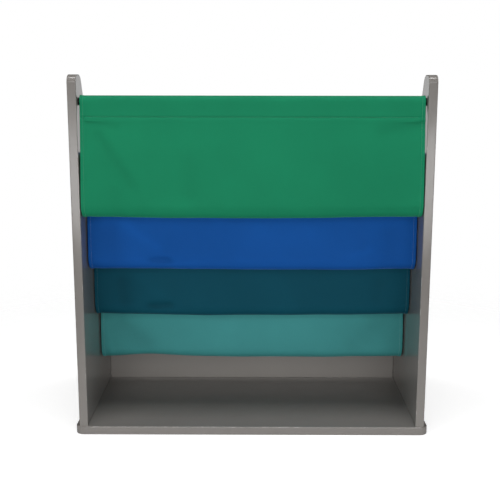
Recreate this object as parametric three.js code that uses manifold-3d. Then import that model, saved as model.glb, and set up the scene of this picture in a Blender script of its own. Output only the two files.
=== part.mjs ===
// Sling bookshelf for children.
// Two side panels and a lip board stand on a base plate. Four cloth slings hang one below
// the other, each from a rear and a front steel tube, and each tier lies further forward.
// Millimetres, +Z up, +Y towards the side where the books go in, origin on the floor
// under the middle of the base plate. Left is -X.
import * as THREE from "three";
import { mergeVertices } from "three/addons/utils/BufferGeometryUtils.js";
import Module from "manifold-3d";

const wasm = await Module();
wasm.setup();

// Boards
const innerWidth = 576; // between the side panels
const panelThickness = 15;
const baseThickness = 15;
const lipThickness = 15;
const lipHeight = 80;
const lipRecess = 4; // from the panels' front edges back to the lip
const baseSideOverhang = 7;
const baseRearOverhang = 2;
const baseFrontOverhang = 5;
const baseCornerRadius = 14;
const boardArris = 1.5; // rounding of every long edge of a board
const panelRearTopRadius = 14;
const panelFrontTopRadius = 20;
const panelKneeRadius = 60; // where the sloping edge turns upright

// Tiers and the places of the tubes' axes
const tierDrop = 98.5; // each tier lies this much lower than the one above it
const tierStep = 49.5; // and this much further forward
const rearTubeInset = 18; // from the panels' rear edges
const topTubeCover = 43.7; // from the highest axis to the panels' tops
const slopeCover = 41.7; // from the rear axes out to the panels' sloping edge
const lipReach = 89.5; // from the lowest rear axis to the lip
const floorBay = 74.5; // clear height between base plate and lowest sling

// Tubes, their end plugs and screws
const tubeRadius = 6.35;
const tubeWall = 1;
const socketDepth = 9; // blind socket in the panel's inner face
const fitGap = 0.3; // clearance wherever one piece goes into another
const plugFlange = 1.6;
const plugLength = 18;
const tubeScrewRadius = 2;
const tubeScrewHeadRadius = 3.8;
const tubeScrewHeadHeight = 2.2;
const tubeScrewBite = 14; // length of the screw inside the plug
const headSink = 0.4; // screw heads lie this far below the board's face

// Board screws and dowels
const boardScrewRadius = 3.2;
const boardScrewHeadRadius = 4.8;
const boardScrewHeadHeight = 3.2;
const boardScrewBite = 33; // length of the screw inside the second board
const driveRadiusShare = 0.42; // hexagon recess, as a share of the head's radius
const driveDepthShare = 0.75; // and of the head's height
const screwTipShare = 0.7; // width of a screw's blunt tip, as a share of its shank's
const dowelRadius = 4;
const dowelLength = 26;
const dowelChamfer = 1.5;
const dowelSeat = 9; // length of a dowel inside the base plate, or inside a panel at the lip
const baseScrewShares = [0.16, 0.84]; // along the panel's depth
const baseDowelShare = 0.5;
const lipScrewShare = 0.68; // up the lip's height
const lipDowelShare = 0.3;

// Cloth
const clothThickness = 1.4;
const stitchDrop = 25; // from the tube's axis to the sleeve's stitch line
const tailLength = 8; // hem left below the stitch line
const bellyReach = 11.7; // the belly stands this far behind the sleeve
const pocketDrop = 94.8; // from the next tier's rear axis down to the bottom of the pocket
const nestGap = 1; // between a sling and the tube sleeve of the next tier
const curlWidth = 24; // the pocket's bottom draws in over this width at each side edge
const curlRise = 2.4;
const wallTopShare = 0.25; // how straight the rear wall leaves the tube
const wallBellyShare = 0.45; // how long it stays in the belly
const frontWallShare = 0.4;
const stationShares = [-1, -0.94, -0.67, -0.4, 0, 0.4, 0.7, 0.94, 1];

// The slings from the top tier down, each with the gap to the panel at either end, how far
// it hangs below the common drop, how much its bottom sags at the middle, and on one of them
// a lifted stretch of the bottom.
const slings = [
  { name: "green_sling", colour: 0x1e7d57, sideGap: 2, extraDrop: 0, sag: 2.5 },
  { name: "blue_sling", colour: 0x174a90, sideGap: 2, extraDrop: 4, sag: 1.8 },
  { name: "teal_sling", colour: 0x144454, sideGap: 1.2, extraDrop: 0, sag: 3 },
  {
    name: "aqua_sling",
    colour: 0x357572,
    sideGap: 2.2,
    extraDrop: 0,
    sag: 1,
    lift: 4,
    liftPlaceShare: -0.67,
    liftWidthShare: 0.2,
  },
];

const sides = [
  { side: "left", sign: -1 },
  { side: "right", sign: 1 },
];

// Facets round a tube, round a small piece, round a hole, along an arc, across a rounded
// edge, and down, round and up a sling's wall
const tubeSides = 16;
const smallSides = 8;
const socketSides = 12;
const arcSteps = 7;
const arrisSteps = 1;
const wallSteps = 6;
const bottomSteps = 8;
const riseSteps = 6;
const overrun = 2; // every cutter runs this far past the face it opens

// Places that follow from the sizes above. Depths are first taken from the base plate's
// rear face and then moved so that the origin is under its middle.
const tierCount = slings.length;
const lastTier = tierCount - 1;
const sleeveBore = tubeRadius + fitGap;
const sleeveOuter = sleeveBore + clothThickness;
const sleeveMiddle = sleeveBore + clothThickness / 2;
const panelRear = baseRearOverhang;
const firstAxisDepth = panelRear + rearTubeInset;
const lipRear = firstAxisDepth + lastTier * tierStep + lipReach;
const lipFront = lipRear + lipThickness;
const panelFront = lipFront + lipRecess;
const baseDepth = panelFront + baseFrontOverhang;
const baseWidth = innerWidth + 2 * (panelThickness + baseSideOverhang);
const panelDepth = panelFront - panelRear;
const panelOuter = innerWidth / 2 + panelThickness;
const firstAxisHeight = baseThickness + floorBay + pocketDrop + tierCount * tierDrop;
const panelTop = firstAxisHeight + topTubeCover;
const tubeEnd = innerWidth / 2 + socketDepth - 2 * fitGap - plugFlange;

const boardPaint = new THREE.Color(0x9b9692);
const tubeColour = new THREE.Color(0x15181a);

function finish(colour, roughness, metalness = 0) {
  return new THREE.MeshStandardMaterial({ color: colour, roughness, metalness });
}

// The axis of a tier's rear or front tube, as depth and height. A front tube is level with
// the next tier's rear tube, and their two sleeves lie side by side.
const frontTubeReach = tierStep - 2 * sleeveOuter - nestGap;

function rearAxis(tier) {
  return new THREE.Vector2(
    firstAxisDepth + tier * tierStep,
    firstAxisHeight - tier * tierDrop,
  );
}

function frontAxis(tier) {
  const rear = rearAxis(tier);
  return new THREE.Vector2(rear.x + frontTubeReach, rear.y - tierDrop);
}

// A closed geometry as a solid, and a solid as a geometry.
function solidOf(geometry) {
  const bare = geometry.clone();
  bare.deleteAttribute("normal");
  bare.deleteAttribute("uv");
  const merged = mergeVertices(bare);
  return new wasm.Manifold(
    new wasm.Mesh({
      numProp: 3,
      vertProperties: new Float32Array(merged.attributes.position.array),
      triVerts: new Uint32Array(merged.index.array),
    }),
  );
}

function geometryOf(solid) {
  const mesh = solid.getMesh();
  const geometry = new THREE.BufferGeometry();
  geometry.setAttribute(
    "position",
    new THREE.BufferAttribute(new Float32Array(mesh.vertProperties), 3),
  );
  geometry.setIndex(new THREE.BufferAttribute(new Uint32Array(mesh.triVerts), 1));
  geometry.computeVertexNormals();
  return geometry;
}

function cut(geometry, cutters) {
  const solid = cutters.reduce((left, cutter) => left.subtract(solidOf(cutter)), solidOf(geometry));
  return geometryOf(solid);
}

// A turned piece: points are [radius, place along the axis], the axis starts as +Y.
function turned(points, facets) {
  return new THREE.LatheGeometry(
    points.map(([radius, along]) => new THREE.Vector2(radius, along)),
    facets,
  );
}

// The same turned piece with its axis along +Z, or along X towards the given side.
function upright(geometry) {
  return geometry.rotateX(Math.PI / 2);
}

function sideways(geometry, sign) {
  return geometry.rotateZ((-sign * Math.PI) / 2);
}

// A board of an outline, rounded along all its edges, thickness along +Z from zero.
function board(outline, thickness) {
  return new THREE.ExtrudeGeometry(outline, {
    depth: thickness - 2 * boardArris,
    bevelEnabled: true,
    bevelThickness: boardArris,
    bevelSize: boardArris,
    bevelOffset: -boardArris,
    bevelSegments: arrisSteps,
    curveSegments: arcSteps,
  }).translate(0, 0, boardArris);
}

function basePlateOutline() {
  const half = baseWidth / 2;
  const inner = half - baseCornerRadius;
  const outline = new THREE.Shape();
  outline.moveTo(-inner, 0);
  outline.lineTo(inner, 0);
  outline.absarc(inner, baseCornerRadius, baseCornerRadius, -Math.PI / 2, 0, false);
  outline.lineTo(half, baseDepth - baseCornerRadius);
  outline.absarc(
    inner, baseDepth - baseCornerRadius, baseCornerRadius, 0, Math.PI / 2, false,
  );
  outline.lineTo(-inner, baseDepth);
  outline.absarc(
    -inner, baseDepth - baseCornerRadius, baseCornerRadius, Math.PI / 2, Math.PI, false,
  );
  outline.lineTo(-half, baseCornerRadius);
  outline.absarc(-inner, baseCornerRadius, baseCornerRadius, Math.PI, 1.5 * Math.PI, false);
  return outline;
}

// The side panel in depth and height. Its sloping edge runs parallel to the row of tubes,
// slopeCover outside the rear axes, and arcs join it to the top and to the upright edge.
function sidePanelOutline() {
  const slope = Math.atan2(tierStep, tierDrop);
  const across = Math.cos(slope);
  const up = Math.sin(slope);
  const axis = rearAxis(0);
  const edge = axis.x * across + axis.y * up + slopeCover;
  const topCentre = panelTop - panelFrontTopRadius;
  const frontTopDepth = (edge - panelFrontTopRadius - up * topCentre) / across;
  const kneeDepth = panelFront - panelKneeRadius;
  const kneeHeight = (edge - panelKneeRadius - across * kneeDepth) / up;
  const rearTopDepth = panelRear + panelRearTopRadius;
  const outline = new THREE.Shape();
  outline.moveTo(panelRear, baseThickness);
  outline.lineTo(panelFront, baseThickness);
  outline.lineTo(panelFront, kneeHeight);
  outline.absarc(kneeDepth, kneeHeight, panelKneeRadius, 0, slope, false);
  outline.lineTo(
    frontTopDepth + panelFrontTopRadius * across,
    topCentre + panelFrontTopRadius * up,
  );
  outline.absarc(frontTopDepth, topCentre, panelFrontTopRadius, slope, Math.PI / 2, false);
  outline.lineTo(rearTopDepth, panelTop);
  outline.absarc(
    rearTopDepth, panelTop - panelRearTopRadius, panelRearTopRadius, Math.PI / 2, Math.PI, false,
  );
  return outline;
}

// The panel's outline is drawn in depth and height, so its board is stood on edge: the
// board's first direction becomes +Y, its second +Z and its thickness +X.
function stand(geometry) {
  return geometry.rotateX(Math.PI / 2).rotateZ(Math.PI / 2);
}

// Countersunk screw: its head's face lies headSink below zero and the shank runs down.
function screw(radius, headRadius, headHeight, length) {
  const body = turned(
    [
      [0, -length],
      [radius * screwTipShare, -length],
      [radius, -length + radius],
      [radius, -headSink - headHeight],
      [headRadius, -headSink],
      [0, -headSink],
    ],
    smallSides,
  );
  const driveDepth = headHeight * driveDepthShare;
  const driveRadius = headRadius * driveRadiusShare;
  const hexagon = new THREE.CylinderGeometry(driveRadius, driveRadius, driveDepth + overrun, 6);
  hexagon.translate(0, -headSink - driveDepth / 2 + overrun / 2, 0);
  return cut(body, [hexagon]);
}

// The hole that such a screw needs, with its countersink opening upwards at zero.
function screwHole(radius, headRadius, headHeight, length) {
  return turned(
    [
      [0, -length - fitGap],
      [radius + fitGap, -length - fitGap],
      [radius + fitGap, -headSink - headHeight - fitGap],
      [headRadius + fitGap, -headSink],
      [headRadius + fitGap, overrun],
      [0, overrun],
    ],
    socketSides,
  );
}

const tubeScrewLength = panelThickness - socketDepth + fitGap + tubeScrewBite;
const boardScrewBase = baseThickness + boardScrewBite;
const boardScrewPanel = panelThickness + boardScrewBite;

function tubeScrew() {
  return screw(tubeScrewRadius, tubeScrewHeadRadius, tubeScrewHeadHeight, tubeScrewLength);
}

function boardScrew(length) {
  return screw(boardScrewRadius, boardScrewHeadRadius, boardScrewHeadHeight, length);
}

function boardScrewHole(length) {
  return screwHole(boardScrewRadius, boardScrewHeadRadius, boardScrewHeadHeight, length);
}

// A dowel that starts at zero and runs up, with chamfered ends, and its hole, which has
// the fitting clearance all round it.
function dowel() {
  return turned(
    [
      [0, 0],
      [dowelRadius - dowelChamfer, 0],
      [dowelRadius, dowelChamfer],
      [dowelRadius, dowelLength - dowelChamfer],
      [dowelRadius - dowelChamfer, dowelLength],
      [0, dowelLength],
    ],
    smallSides,
  );
}

function dowelHole() {
  const wide = dowelRadius + fitGap;
  const high = dowelLength + fitGap;
  return turned([[0, -fitGap], [wide, -fitGap], [wide, high], [0, high]], socketSides);
}

// Socket for a tube end in the inner face of a panel, and the screw's hole through to the
// outer face. Zero is the outer face, the socket lies below it.
function tubeSocket() {
  const floor = panelThickness - socketDepth;
  return turned(
    [
      [0, -panelThickness - overrun],
      [sleeveBore, -panelThickness - overrun],
      [sleeveBore, -floor],
      [tubeScrewRadius + fitGap, -floor],
      [tubeScrewRadius + fitGap, -headSink - tubeScrewHeadHeight - fitGap],
      [tubeScrewHeadRadius + fitGap, -headSink],
      [tubeScrewHeadRadius + fitGap, overrun],
      [0, overrun],
    ],
    socketSides,
  );
}

// Places of the joinery, as depth or height values used by the pieces and by their holes.
const baseScrewDepths = baseScrewShares.map((share) => panelRear + share * panelDepth);
const baseDowelDepth = panelRear + baseDowelShare * panelDepth;
const panelMiddle = innerWidth / 2 + panelThickness / 2;
const lipMiddle = lipRear + lipThickness / 2;
const lipScrewHeight = baseThickness + lipScrewShare * lipHeight;
const lipDowelHeight = baseThickness + lipDowelShare * lipHeight;
const allAxes = slings.flatMap((_, tier) => [
  { place: "rear", tier: tier + 1, axis: rearAxis(tier) },
  { place: "front", tier: tier + 1, axis: frontAxis(tier) },
]);

// The pieces that join boards, and the holes for them, each put in place by one function:
// screws up through the base plate, dowels between base plate and panels, and a screw and
// a dowel into each end of the lip.
function atBaseScrew(geometry, sign, depth) {
  return upright(geometry).rotateX(Math.PI).translate(sign * panelMiddle, depth, 0);
}

function atBaseDowel(geometry, sign) {
  const start = baseThickness - dowelSeat;
  return upright(geometry).translate(sign * panelMiddle, baseDowelDepth, start);
}

function atLipScrew(geometry, sign) {
  return sideways(geometry, sign).translate(sign * panelOuter, lipMiddle, lipScrewHeight);
}

function atLipDowel(geometry, sign) {
  const start = innerWidth / 2 + dowelSeat;
  return sideways(geometry, -sign).translate(sign * start, lipMiddle, lipDowelHeight);
}

function basePlate() {
  const cutters = sides.flatMap(({ sign }) => [
    ...baseScrewDepths.map((depth) => atBaseScrew(boardScrewHole(boardScrewBase), sign, depth)),
    atBaseDowel(dowelHole(), sign),
  ]);
  return cut(board(basePlateOutline(), baseThickness), cutters);
}

function sidePanel(sign) {
  const flat = stand(board(sidePanelOutline(), panelThickness));
  flat.translate(sign > 0 ? innerWidth / 2 : -panelOuter, 0, 0);
  const sockets = allAxes.map(({ axis }) =>
    sideways(tubeSocket(), sign).translate(sign * panelOuter, axis.x, axis.y),
  );
  return cut(flat, [
    ...sockets,
    ...baseScrewDepths.map((depth) => atBaseScrew(boardScrewHole(boardScrewBase), sign, depth)),
    atBaseDowel(dowelHole(), sign),
    atLipScrew(boardScrewHole(boardScrewPanel), sign),
    atLipDowel(dowelHole(), sign),
  ]);
}

function frontLip() {
  const outline = new THREE.Shape();
  outline.moveTo(-innerWidth / 2, 0);
  outline.lineTo(innerWidth / 2, 0);
  outline.lineTo(innerWidth / 2, lipHeight);
  outline.lineTo(-innerWidth / 2, lipHeight);
  const flat = board(outline, lipThickness).rotateX(Math.PI / 2);
  flat.translate(0, lipFront, baseThickness);
  const cutters = sides.flatMap(({ sign }) => [
    atLipScrew(boardScrewHole(boardScrewPanel), sign),
    atLipDowel(dowelHole(), sign),
  ]);
  return cut(flat, cutters);
}

// A steel tube along X, open at both ends.
function tube(axis) {
  const bore = tubeRadius - tubeWall;
  const ring = turned(
    [
      [bore, -tubeEnd],
      [tubeRadius, -tubeEnd],
      [tubeRadius, tubeEnd],
      [bore, tubeEnd],
      [bore, -tubeEnd],
    ],
    tubeSides,
  );
  return sideways(ring, 1).translate(0, axis.x, axis.y);
}

// The plug pressed into a tube's end: a flange outside the tube, a body inside it and a
// bore for the screw. Its flange's outer face is at zero and the body runs down.
function endPlug(axis, sign) {
  const body = tubeRadius - tubeWall - fitGap;
  const bore = tubeScrewRadius + fitGap;
  const flange = plugFlange;
  const plug = turned(
    [
      [bore, -plugLength],
      [body, -plugLength],
      [body, -flange],
      [tubeRadius, -flange],
      [tubeRadius, 0],
      [bore, 0],
      [bore, -plugLength],
    ],
    smallSides,
  );
  const face = innerWidth / 2 + socketDepth - fitGap;
  return sideways(plug, sign).translate(sign * face, axis.x, axis.y);
}

function tubeScrewAt(axis, sign) {
  return sideways(tubeScrew(), sign).translate(sign * panelOuter, axis.x, axis.y);
}

// The middle line of a sling's wall, in depth and height from its rear axis: down from the
// rear tube into the belly, round the bottom, and up to the front tube.
function slingLine(sling) {
  const drop = tierDrop + pocketDrop + sling.extraDrop;
  const bottomRadius = (tierStep - clothThickness - nestGap) / 2;
  const belly = -(sleeveMiddle + bellyReach);
  const centre = -drop + clothThickness / 2 + bottomRadius;
  const farBelly = belly + 2 * bottomRadius;
  const meet = new THREE.Vector2(frontTubeReach + sleeveMiddle, -tierDrop);
  const rise = meet.y - centre;
  const line = new THREE.CurvePath();
  line.add(
    new THREE.CubicBezierCurve(
      new THREE.Vector2(-sleeveMiddle, 0),
      new THREE.Vector2(-sleeveMiddle, centre * wallTopShare),
      new THREE.Vector2(belly, centre * (1 - wallBellyShare)),
      new THREE.Vector2(belly, centre),
    ),
  );
  line.add(
    new THREE.EllipseCurve(
      belly + bottomRadius, centre, bottomRadius, bottomRadius, Math.PI, 2 * Math.PI, false,
    ),
  );
  line.add(
    new THREE.CubicBezierCurve(
      new THREE.Vector2(farBelly, centre),
      new THREE.Vector2(farBelly, centre + rise * frontWallShare),
      new THREE.Vector2(meet.x, meet.y - rise * frontWallShare),
      meet,
    ),
  );
  return line;
}

// Evenly spaced numbers from one value to another, without the first.
function stepsTo(from, to, count) {
  return Array.from({ length: count }, (_, i) => from + ((to - from) * (i + 1)) / count);
}

// Points on a circle from one angle to another, both ends included.
function arcPoints(centre, radius, from, to) {
  return [from, ...stepsTo(from, to, arcSteps)].map(
    (angle) =>
      new THREE.Vector2(
        centre.x + radius * Math.cos(angle),
        centre.y + radius * Math.sin(angle),
      ),
  );
}

// The angle at which a line from a point touches a circle, on the given turn of it.
function touchAngle(centre, radius, point, turn) {
  const offset = point.clone().sub(centre);
  return offset.angle() + turn * Math.acos(radius / offset.length());
}

// The cross-section of a sling: one outline and the bores of its two sleeves. The wall is
// one layer; at each tube it goes over the tube, comes back inside the pocket, and is
// stitched to itself with a hem left over.
function slingSection(sling) {
  const line = slingLine(sling);
  const [wallEnd, arcEnd, total] = line.getCurveLengths();
  const hem = stitchDrop + tailLength;
  const wall = [
    ...stepsTo(0, wallEnd, wallSteps),
    ...stepsTo(wallEnd, arcEnd, bottomSteps),
    ...stepsTo(arcEnd, total, riseSteps),
  ].filter((length) => length > hem && length < total - hem);
  const sleeve = [0, stitchDrop / 2, stitchDrop];
  const lengths = [
    ...sleeve,
    hem,
    ...wall,
    total - hem,
    ...sleeve.map((length) => total - length).reverse(),
  ];
  const half = clothThickness / 2;
  const point = (length, offset) => {
    const place = line.getPoint(length / total);
    const along = line.getTangent(length / total);
    return new THREE.Vector2(place.x - offset * along.y, place.y + offset * along.x);
  };
  const rear = new THREE.Vector2(0, 0);
  const front = new THREE.Vector2(frontTubeReach, -tierDrop);
  const rearTail = point(stitchDrop, 3 * half);
  const frontTail = point(total - stitchDrop, 3 * half);
  const rearNotch = point(stitchDrop, half);
  const frontNotch = point(total - stitchDrop, half);
  const full = 2 * Math.PI;
  const frontArc = touchAngle(front, sleeveOuter, frontTail, -1);
  const rearArc = touchAngle(rear, sleeveOuter, rearTail, 1) - full;
  const outline = [
    ...lengths.map((length) => point(length, -half)),
    ...arcPoints(front, sleeveOuter, 0, frontArc).slice(1),
    frontTail,
    point(total - hem, 3 * half),
    ...[hem, ...wall, total - hem].reverse().map((length) => point(length, half)),
    point(hem, 3 * half),
    rearTail,
    ...arcPoints(rear, sleeveOuter, rearArc, Math.PI).slice(0, -1),
  ];
  const rearBoreEnd = touchAngle(rear, sleeveBore, rearNotch, 1) - full;
  const frontBoreStart = touchAngle(front, sleeveBore, frontNotch, -1);
  const rearBore = [
    ...arcPoints(rear, sleeveBore, Math.PI, rearBoreEnd),
    rearNotch,
    point(stitchDrop / 2, half),
  ];
  const frontBore = [
    ...arcPoints(front, sleeveBore, frontBoreStart, 0),
    point(total - stitchDrop / 2, half),
    frontNotch,
  ];
  return { outline, holes: [rearBore, frontBore] };
}

// How far a point of the cloth lies from the plain section: nothing at the sleeves, and
// towards the bottom the sag of the middle, the drawn-in side edges and a lifted stretch.
function draped(sling, x, place) {
  const low = THREE.MathUtils.clamp(
    (-place.y - tierDrop) / (pocketDrop + sling.extraDrop), 0, 1,
  );
  const halfWidth = innerWidth / 2 - sling.sideGap;
  const share = x / halfWidth;
  const toEdge = halfWidth - Math.abs(x);
  const edge = THREE.MathUtils.clamp(1 - toEdge / curlWidth, 0, 1) ** 2;
  const lifted = sling.lift
    ? sling.lift * Math.exp(-(((share - sling.liftPlaceShare) / sling.liftWidthShare) ** 2))
    : 0;
  const rise = curlRise * edge + lifted - sling.sag * (1 - share * share);
  return new THREE.Vector2(place.x, place.y + rise * low * low);
}

function slingGeometry(sling, tier) {
  const { outline, holes } = slingSection(sling);
  const loops = [outline, ...holes];
  const flat = loops.flat();
  const origin = rearAxis(tier);
  const positions = [];
  for (const share of stationShares) {
    const x = share * (innerWidth / 2 - sling.sideGap);
    for (const place of flat) {
      const hung = draped(sling, x, place);
      positions.push(x, origin.x + hung.x, origin.y + hung.y);
    }
  }
  const triangles = [];
  const row = flat.length;
  const lastRow = (stationShares.length - 1) * row;
  for (let station = 0; station < lastRow; station += row) {
    let start = station;
    for (const loop of loops) {
      loop.forEach((_, i) => {
        const a = start + i;
        const b = start + ((i + 1) % loop.length);
        triangles.push(a, b, b + row, a, b + row, a + row);
      });
      start += loop.length;
    }
  }
  for (const [a, b, c] of THREE.ShapeUtils.triangulateShape(outline, holes)) {
    triangles.push(c, b, a, lastRow + a, lastRow + b, lastRow + c);
  }
  const geometry = new THREE.BufferGeometry();
  geometry.setAttribute("position", new THREE.Float32BufferAttribute(positions, 3));
  geometry.setIndex(triangles);
  geometry.computeVertexNormals();
  return geometry;
}

const shelf = new THREE.Group();
const frame = new THREE.Group();
frame.position.y = -baseDepth / 2;
shelf.add(frame);

function addPiece(name, geometry, material) {
  const piece = new THREE.Mesh(geometry, material);
  piece.name = name;
  frame.add(piece);
}

const paint = () => finish(boardPaint, 0.45);
const steel = () => finish(tubeColour, 0.35, 0.6);
const zinc = () => finish(0xb4b6b8, 0.35, 0.9);
const nylon = () => finish(0x202224, 0.6);
const beech = () => finish(0xc9a878, 0.75);

addPiece("base_plate", basePlate(), paint());
for (const { side, sign } of sides) {
  addPiece(`side_panel_${side}`, sidePanel(sign), paint());
}
addPiece("front_lip", frontLip(), paint());

slings.forEach((sling, tier) => {
  const count = tier + 1;
  addPiece(`rear_tube_${count}`, tube(rearAxis(tier)), steel());
  addPiece(`front_tube_${count}`, tube(frontAxis(tier)), steel());
  addPiece(sling.name, slingGeometry(sling, tier), finish(sling.colour, 0.9));
});

for (const { side, sign } of sides) {
  for (const { place, tier, axis } of allAxes) {
    addPiece(`${place}_plug_${tier}_${side}`, endPlug(axis, sign), nylon());
    addPiece(`${place}_screw_${tier}_${side}`, tubeScrewAt(axis, sign), zinc());
  }
  baseScrewDepths.forEach((depth, i) => {
    const geometry = atBaseScrew(boardScrew(boardScrewBase), sign, depth);
    addPiece(`base_screw_${i + 1}_${side}`, geometry, zinc());
  });
  addPiece(`base_dowel_${side}`, atBaseDowel(dowel(), sign), beech());
  addPiece(`lip_screw_${side}`, atLipScrew(boardScrew(boardScrewPanel), sign), zinc());
  addPiece(`lip_dowel_${side}`, atLipDowel(dowel(), sign), beech());
}

export default shelf;
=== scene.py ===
# %% [markdown]
# # A sling bookshelf for children, dressed in Blender
# Two lacquered side panels stand on a base plate, a low lip closes the front, and four cloth
# slings hang between them on black steel tubes. The measured model is loaded first. It says
# where every piece is, so that nothing below has to be fitted by eye.

# %% Load the measured model
import itertools
import math

import bpy
import bmesh
import numpy as np
from mathutils import Matrix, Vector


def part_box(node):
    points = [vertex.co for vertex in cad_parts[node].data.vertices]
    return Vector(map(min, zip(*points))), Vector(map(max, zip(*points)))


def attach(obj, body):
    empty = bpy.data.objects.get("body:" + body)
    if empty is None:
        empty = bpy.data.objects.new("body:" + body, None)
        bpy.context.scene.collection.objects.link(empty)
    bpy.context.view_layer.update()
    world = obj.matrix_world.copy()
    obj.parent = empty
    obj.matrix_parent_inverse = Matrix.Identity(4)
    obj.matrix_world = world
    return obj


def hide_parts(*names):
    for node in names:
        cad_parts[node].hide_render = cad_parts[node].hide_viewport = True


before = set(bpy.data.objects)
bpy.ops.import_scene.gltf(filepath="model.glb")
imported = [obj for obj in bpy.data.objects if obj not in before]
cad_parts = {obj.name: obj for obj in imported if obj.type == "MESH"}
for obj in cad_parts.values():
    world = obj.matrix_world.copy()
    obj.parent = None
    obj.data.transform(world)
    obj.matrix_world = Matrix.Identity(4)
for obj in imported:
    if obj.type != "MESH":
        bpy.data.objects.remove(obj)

scene = bpy.context.scene
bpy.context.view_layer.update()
mm = 0.001
tiers = (1, 2, 3, 4)
sides = {"left": -1, "right": 1}
inward = {side: np.array([-sign, 0.0, 0.0]) for side, sign in sides.items()}
up = np.array([0.0, 0.0, 1.0])


# %% [markdown]
# ## The camera
# The picture is taken from behind the shelf, a little above it, with a short telephoto lens.
# The place, the tilt and the lens were worked out from the edges of the boards, whose sizes
# are known. A camera looks along its own -Z, so its axes are right, up and backwards.

# %% Camera
camera_place = (0.00204, -1.58077, 0.61516)
camera_lens = 62.64
pitch, yaw, roll = np.radians([11.1265, -0.213, 0.088])


def standing(name, data, place, axes):
    """Links a camera or a light at a place, with its own X, Y and Z axes as three vectors."""
    made = bpy.data.objects.new(name, data)
    matrix = np.eye(4)
    matrix[:3, :3] = np.column_stack(axes)
    matrix[:3, 3] = place
    made.matrix_world = Matrix(matrix)
    scene.collection.objects.link(made)
    return made


forward = np.array([
    math.sin(yaw) * math.cos(pitch), math.cos(yaw) * math.cos(pitch), -math.sin(pitch),
])
level = np.array([math.cos(yaw), -math.sin(yaw), 0.0])
upward = np.cross(level, forward)
across = math.cos(roll) * level + math.sin(roll) * upward
above = math.cos(roll) * upward - math.sin(roll) * level

camera_data = bpy.data.cameras.new("camera")
camera_data.lens = camera_lens
camera_data.sensor_width = 36.0
camera = standing("camera", camera_data, camera_place, [across, above, -forward])
scene.camera = camera
print("camera at", camera_place, "lens", camera_lens)


# %% [markdown]
# ## Light
# The shelf was photographed in a white studio. The main light is low and wide behind the
# camera, because the lip is bright and the base plate is dark, and it is a little stronger
# from the left. A wide backdrop on the book side and a softbox overhead light the top edges.

# %% Studio
scene.view_settings.view_transform = "Standard"
white = (1.0, 1.0, 1.0, 1.0)


def feed(node, inputs):
    """Gives a node's sockets, by name or number, plain values or outputs of other nodes."""
    for name, value in dict(inputs).items():
        if isinstance(value, bpy.types.NodeSocket):
            node.id_data.links.new(value, node.inputs[name])
        else:
            node.inputs[name].default_value = value
    return node


def add_node(tree, kind, inputs=(), **settings):
    """Adds one shader node. Settings are its options, and inputs are fed to its sockets."""
    made = tree.nodes.new(kind)
    for name, value in settings.items():
        setattr(made, name, value)
    return feed(made, inputs)


def calc(tree, operation, *values):
    """Adds one math node on the given values or outputs, and returns its output."""
    return add_node(tree, "ShaderNodeMath", enumerate(values), operation=operation).outputs[0]


def softbox(name, place, aim, width, height, power):
    """A flat area light that stands at place, looks at aim, and isn't seen itself."""
    data = bpy.data.lights.new(name, "AREA")
    data.shape = "RECTANGLE"
    data.size, data.size_y = width, height
    data.energy = power
    back = np.subtract(place, aim) / np.linalg.norm(np.subtract(place, aim))
    from_above = abs(back[2]) > 0.9
    side = np.cross([0.0, 1.0, 0.0] if from_above else [0.0, 0.0, 1.0], back)
    side /= np.linalg.norm(side)
    lamp = standing(name, data, place, [side, np.cross(back, side), back])
    lamp.visible_camera = False


# Each has its place, what it looks at, its width and height in metres, and its power.
softbox("backdrop", (0.0, 3.0, 0.45), (0.0, 0.0, 0.45), 3.6, 0.9, 9.3)
softbox("overhead", (0.0, -0.52, 2.3), (0.0, -0.1, 0.3), 1.6, 0.4, 22.0)
softbox("wide_front", (0.0, -3.2, 0.2), (0.0, 0.0, 0.2), 4.2, 0.6, 42.0)
softbox("front_left", (-1.9, -2.2, 0.5), (0.0, 0.0, 0.3), 1.2, 0.9, 7.0)
softbox("front_right", (1.9, -2.2, 0.5), (0.0, 0.0, 0.3), 1.2, 0.9, 3.0)
softbox("above_camera", (0.0, -2.7, 1.4), (0.0, 0.0, 0.3), 2.4, 0.6, 12.5)

sky_seen, sky_glow = 0.97, 0.03
world = bpy.data.worlds.new("white_studio")
world.use_nodes = True
scene.world = world
sky = world.node_tree
seen = add_node(sky, "ShaderNodeLightPath").outputs["Is Camera Ray"]
feed(sky.nodes["Background"], {
    "Color": white, "Strength": calc(sky, "MULTIPLY_ADD", seen, sky_seen, sky_glow),
})
print("lights", [lamp.name for lamp in bpy.data.lights])


# %% [markdown]
# ## Floor
# The floor is a sheet of white paper. In a studio it runs out of the picture. Here it turns
# clear away from the shelf, so no horizon shows, and it glows a little to the camera, as
# paper does that is lit from all round. Shadows stay soft and pale that way.

# %% Floor
floor_drop, floor_half = 0.3 * mm, 2.5
fade_start, fade_end = 0.5, 1.2
paper_seen, paper_glow = 0.62, 0.05


def new_material(name, colour, roughness, more=()):
    """A material with a Principled BSDF, and more of its sockets. Gives the material, its
    tree, its shader and the Object coordinates of the piece that wears it."""
    material = bpy.data.materials.new(name)
    material.use_nodes = True
    tree = material.node_tree
    shader = feed(tree.nodes["Principled BSDF"], {
        "Base Color": (*colour, 1.0), "Roughness": roughness, **dict(more),
    })
    return material, tree, shader, add_node(tree, "ShaderNodeTexCoord").outputs["Object"]


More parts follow.
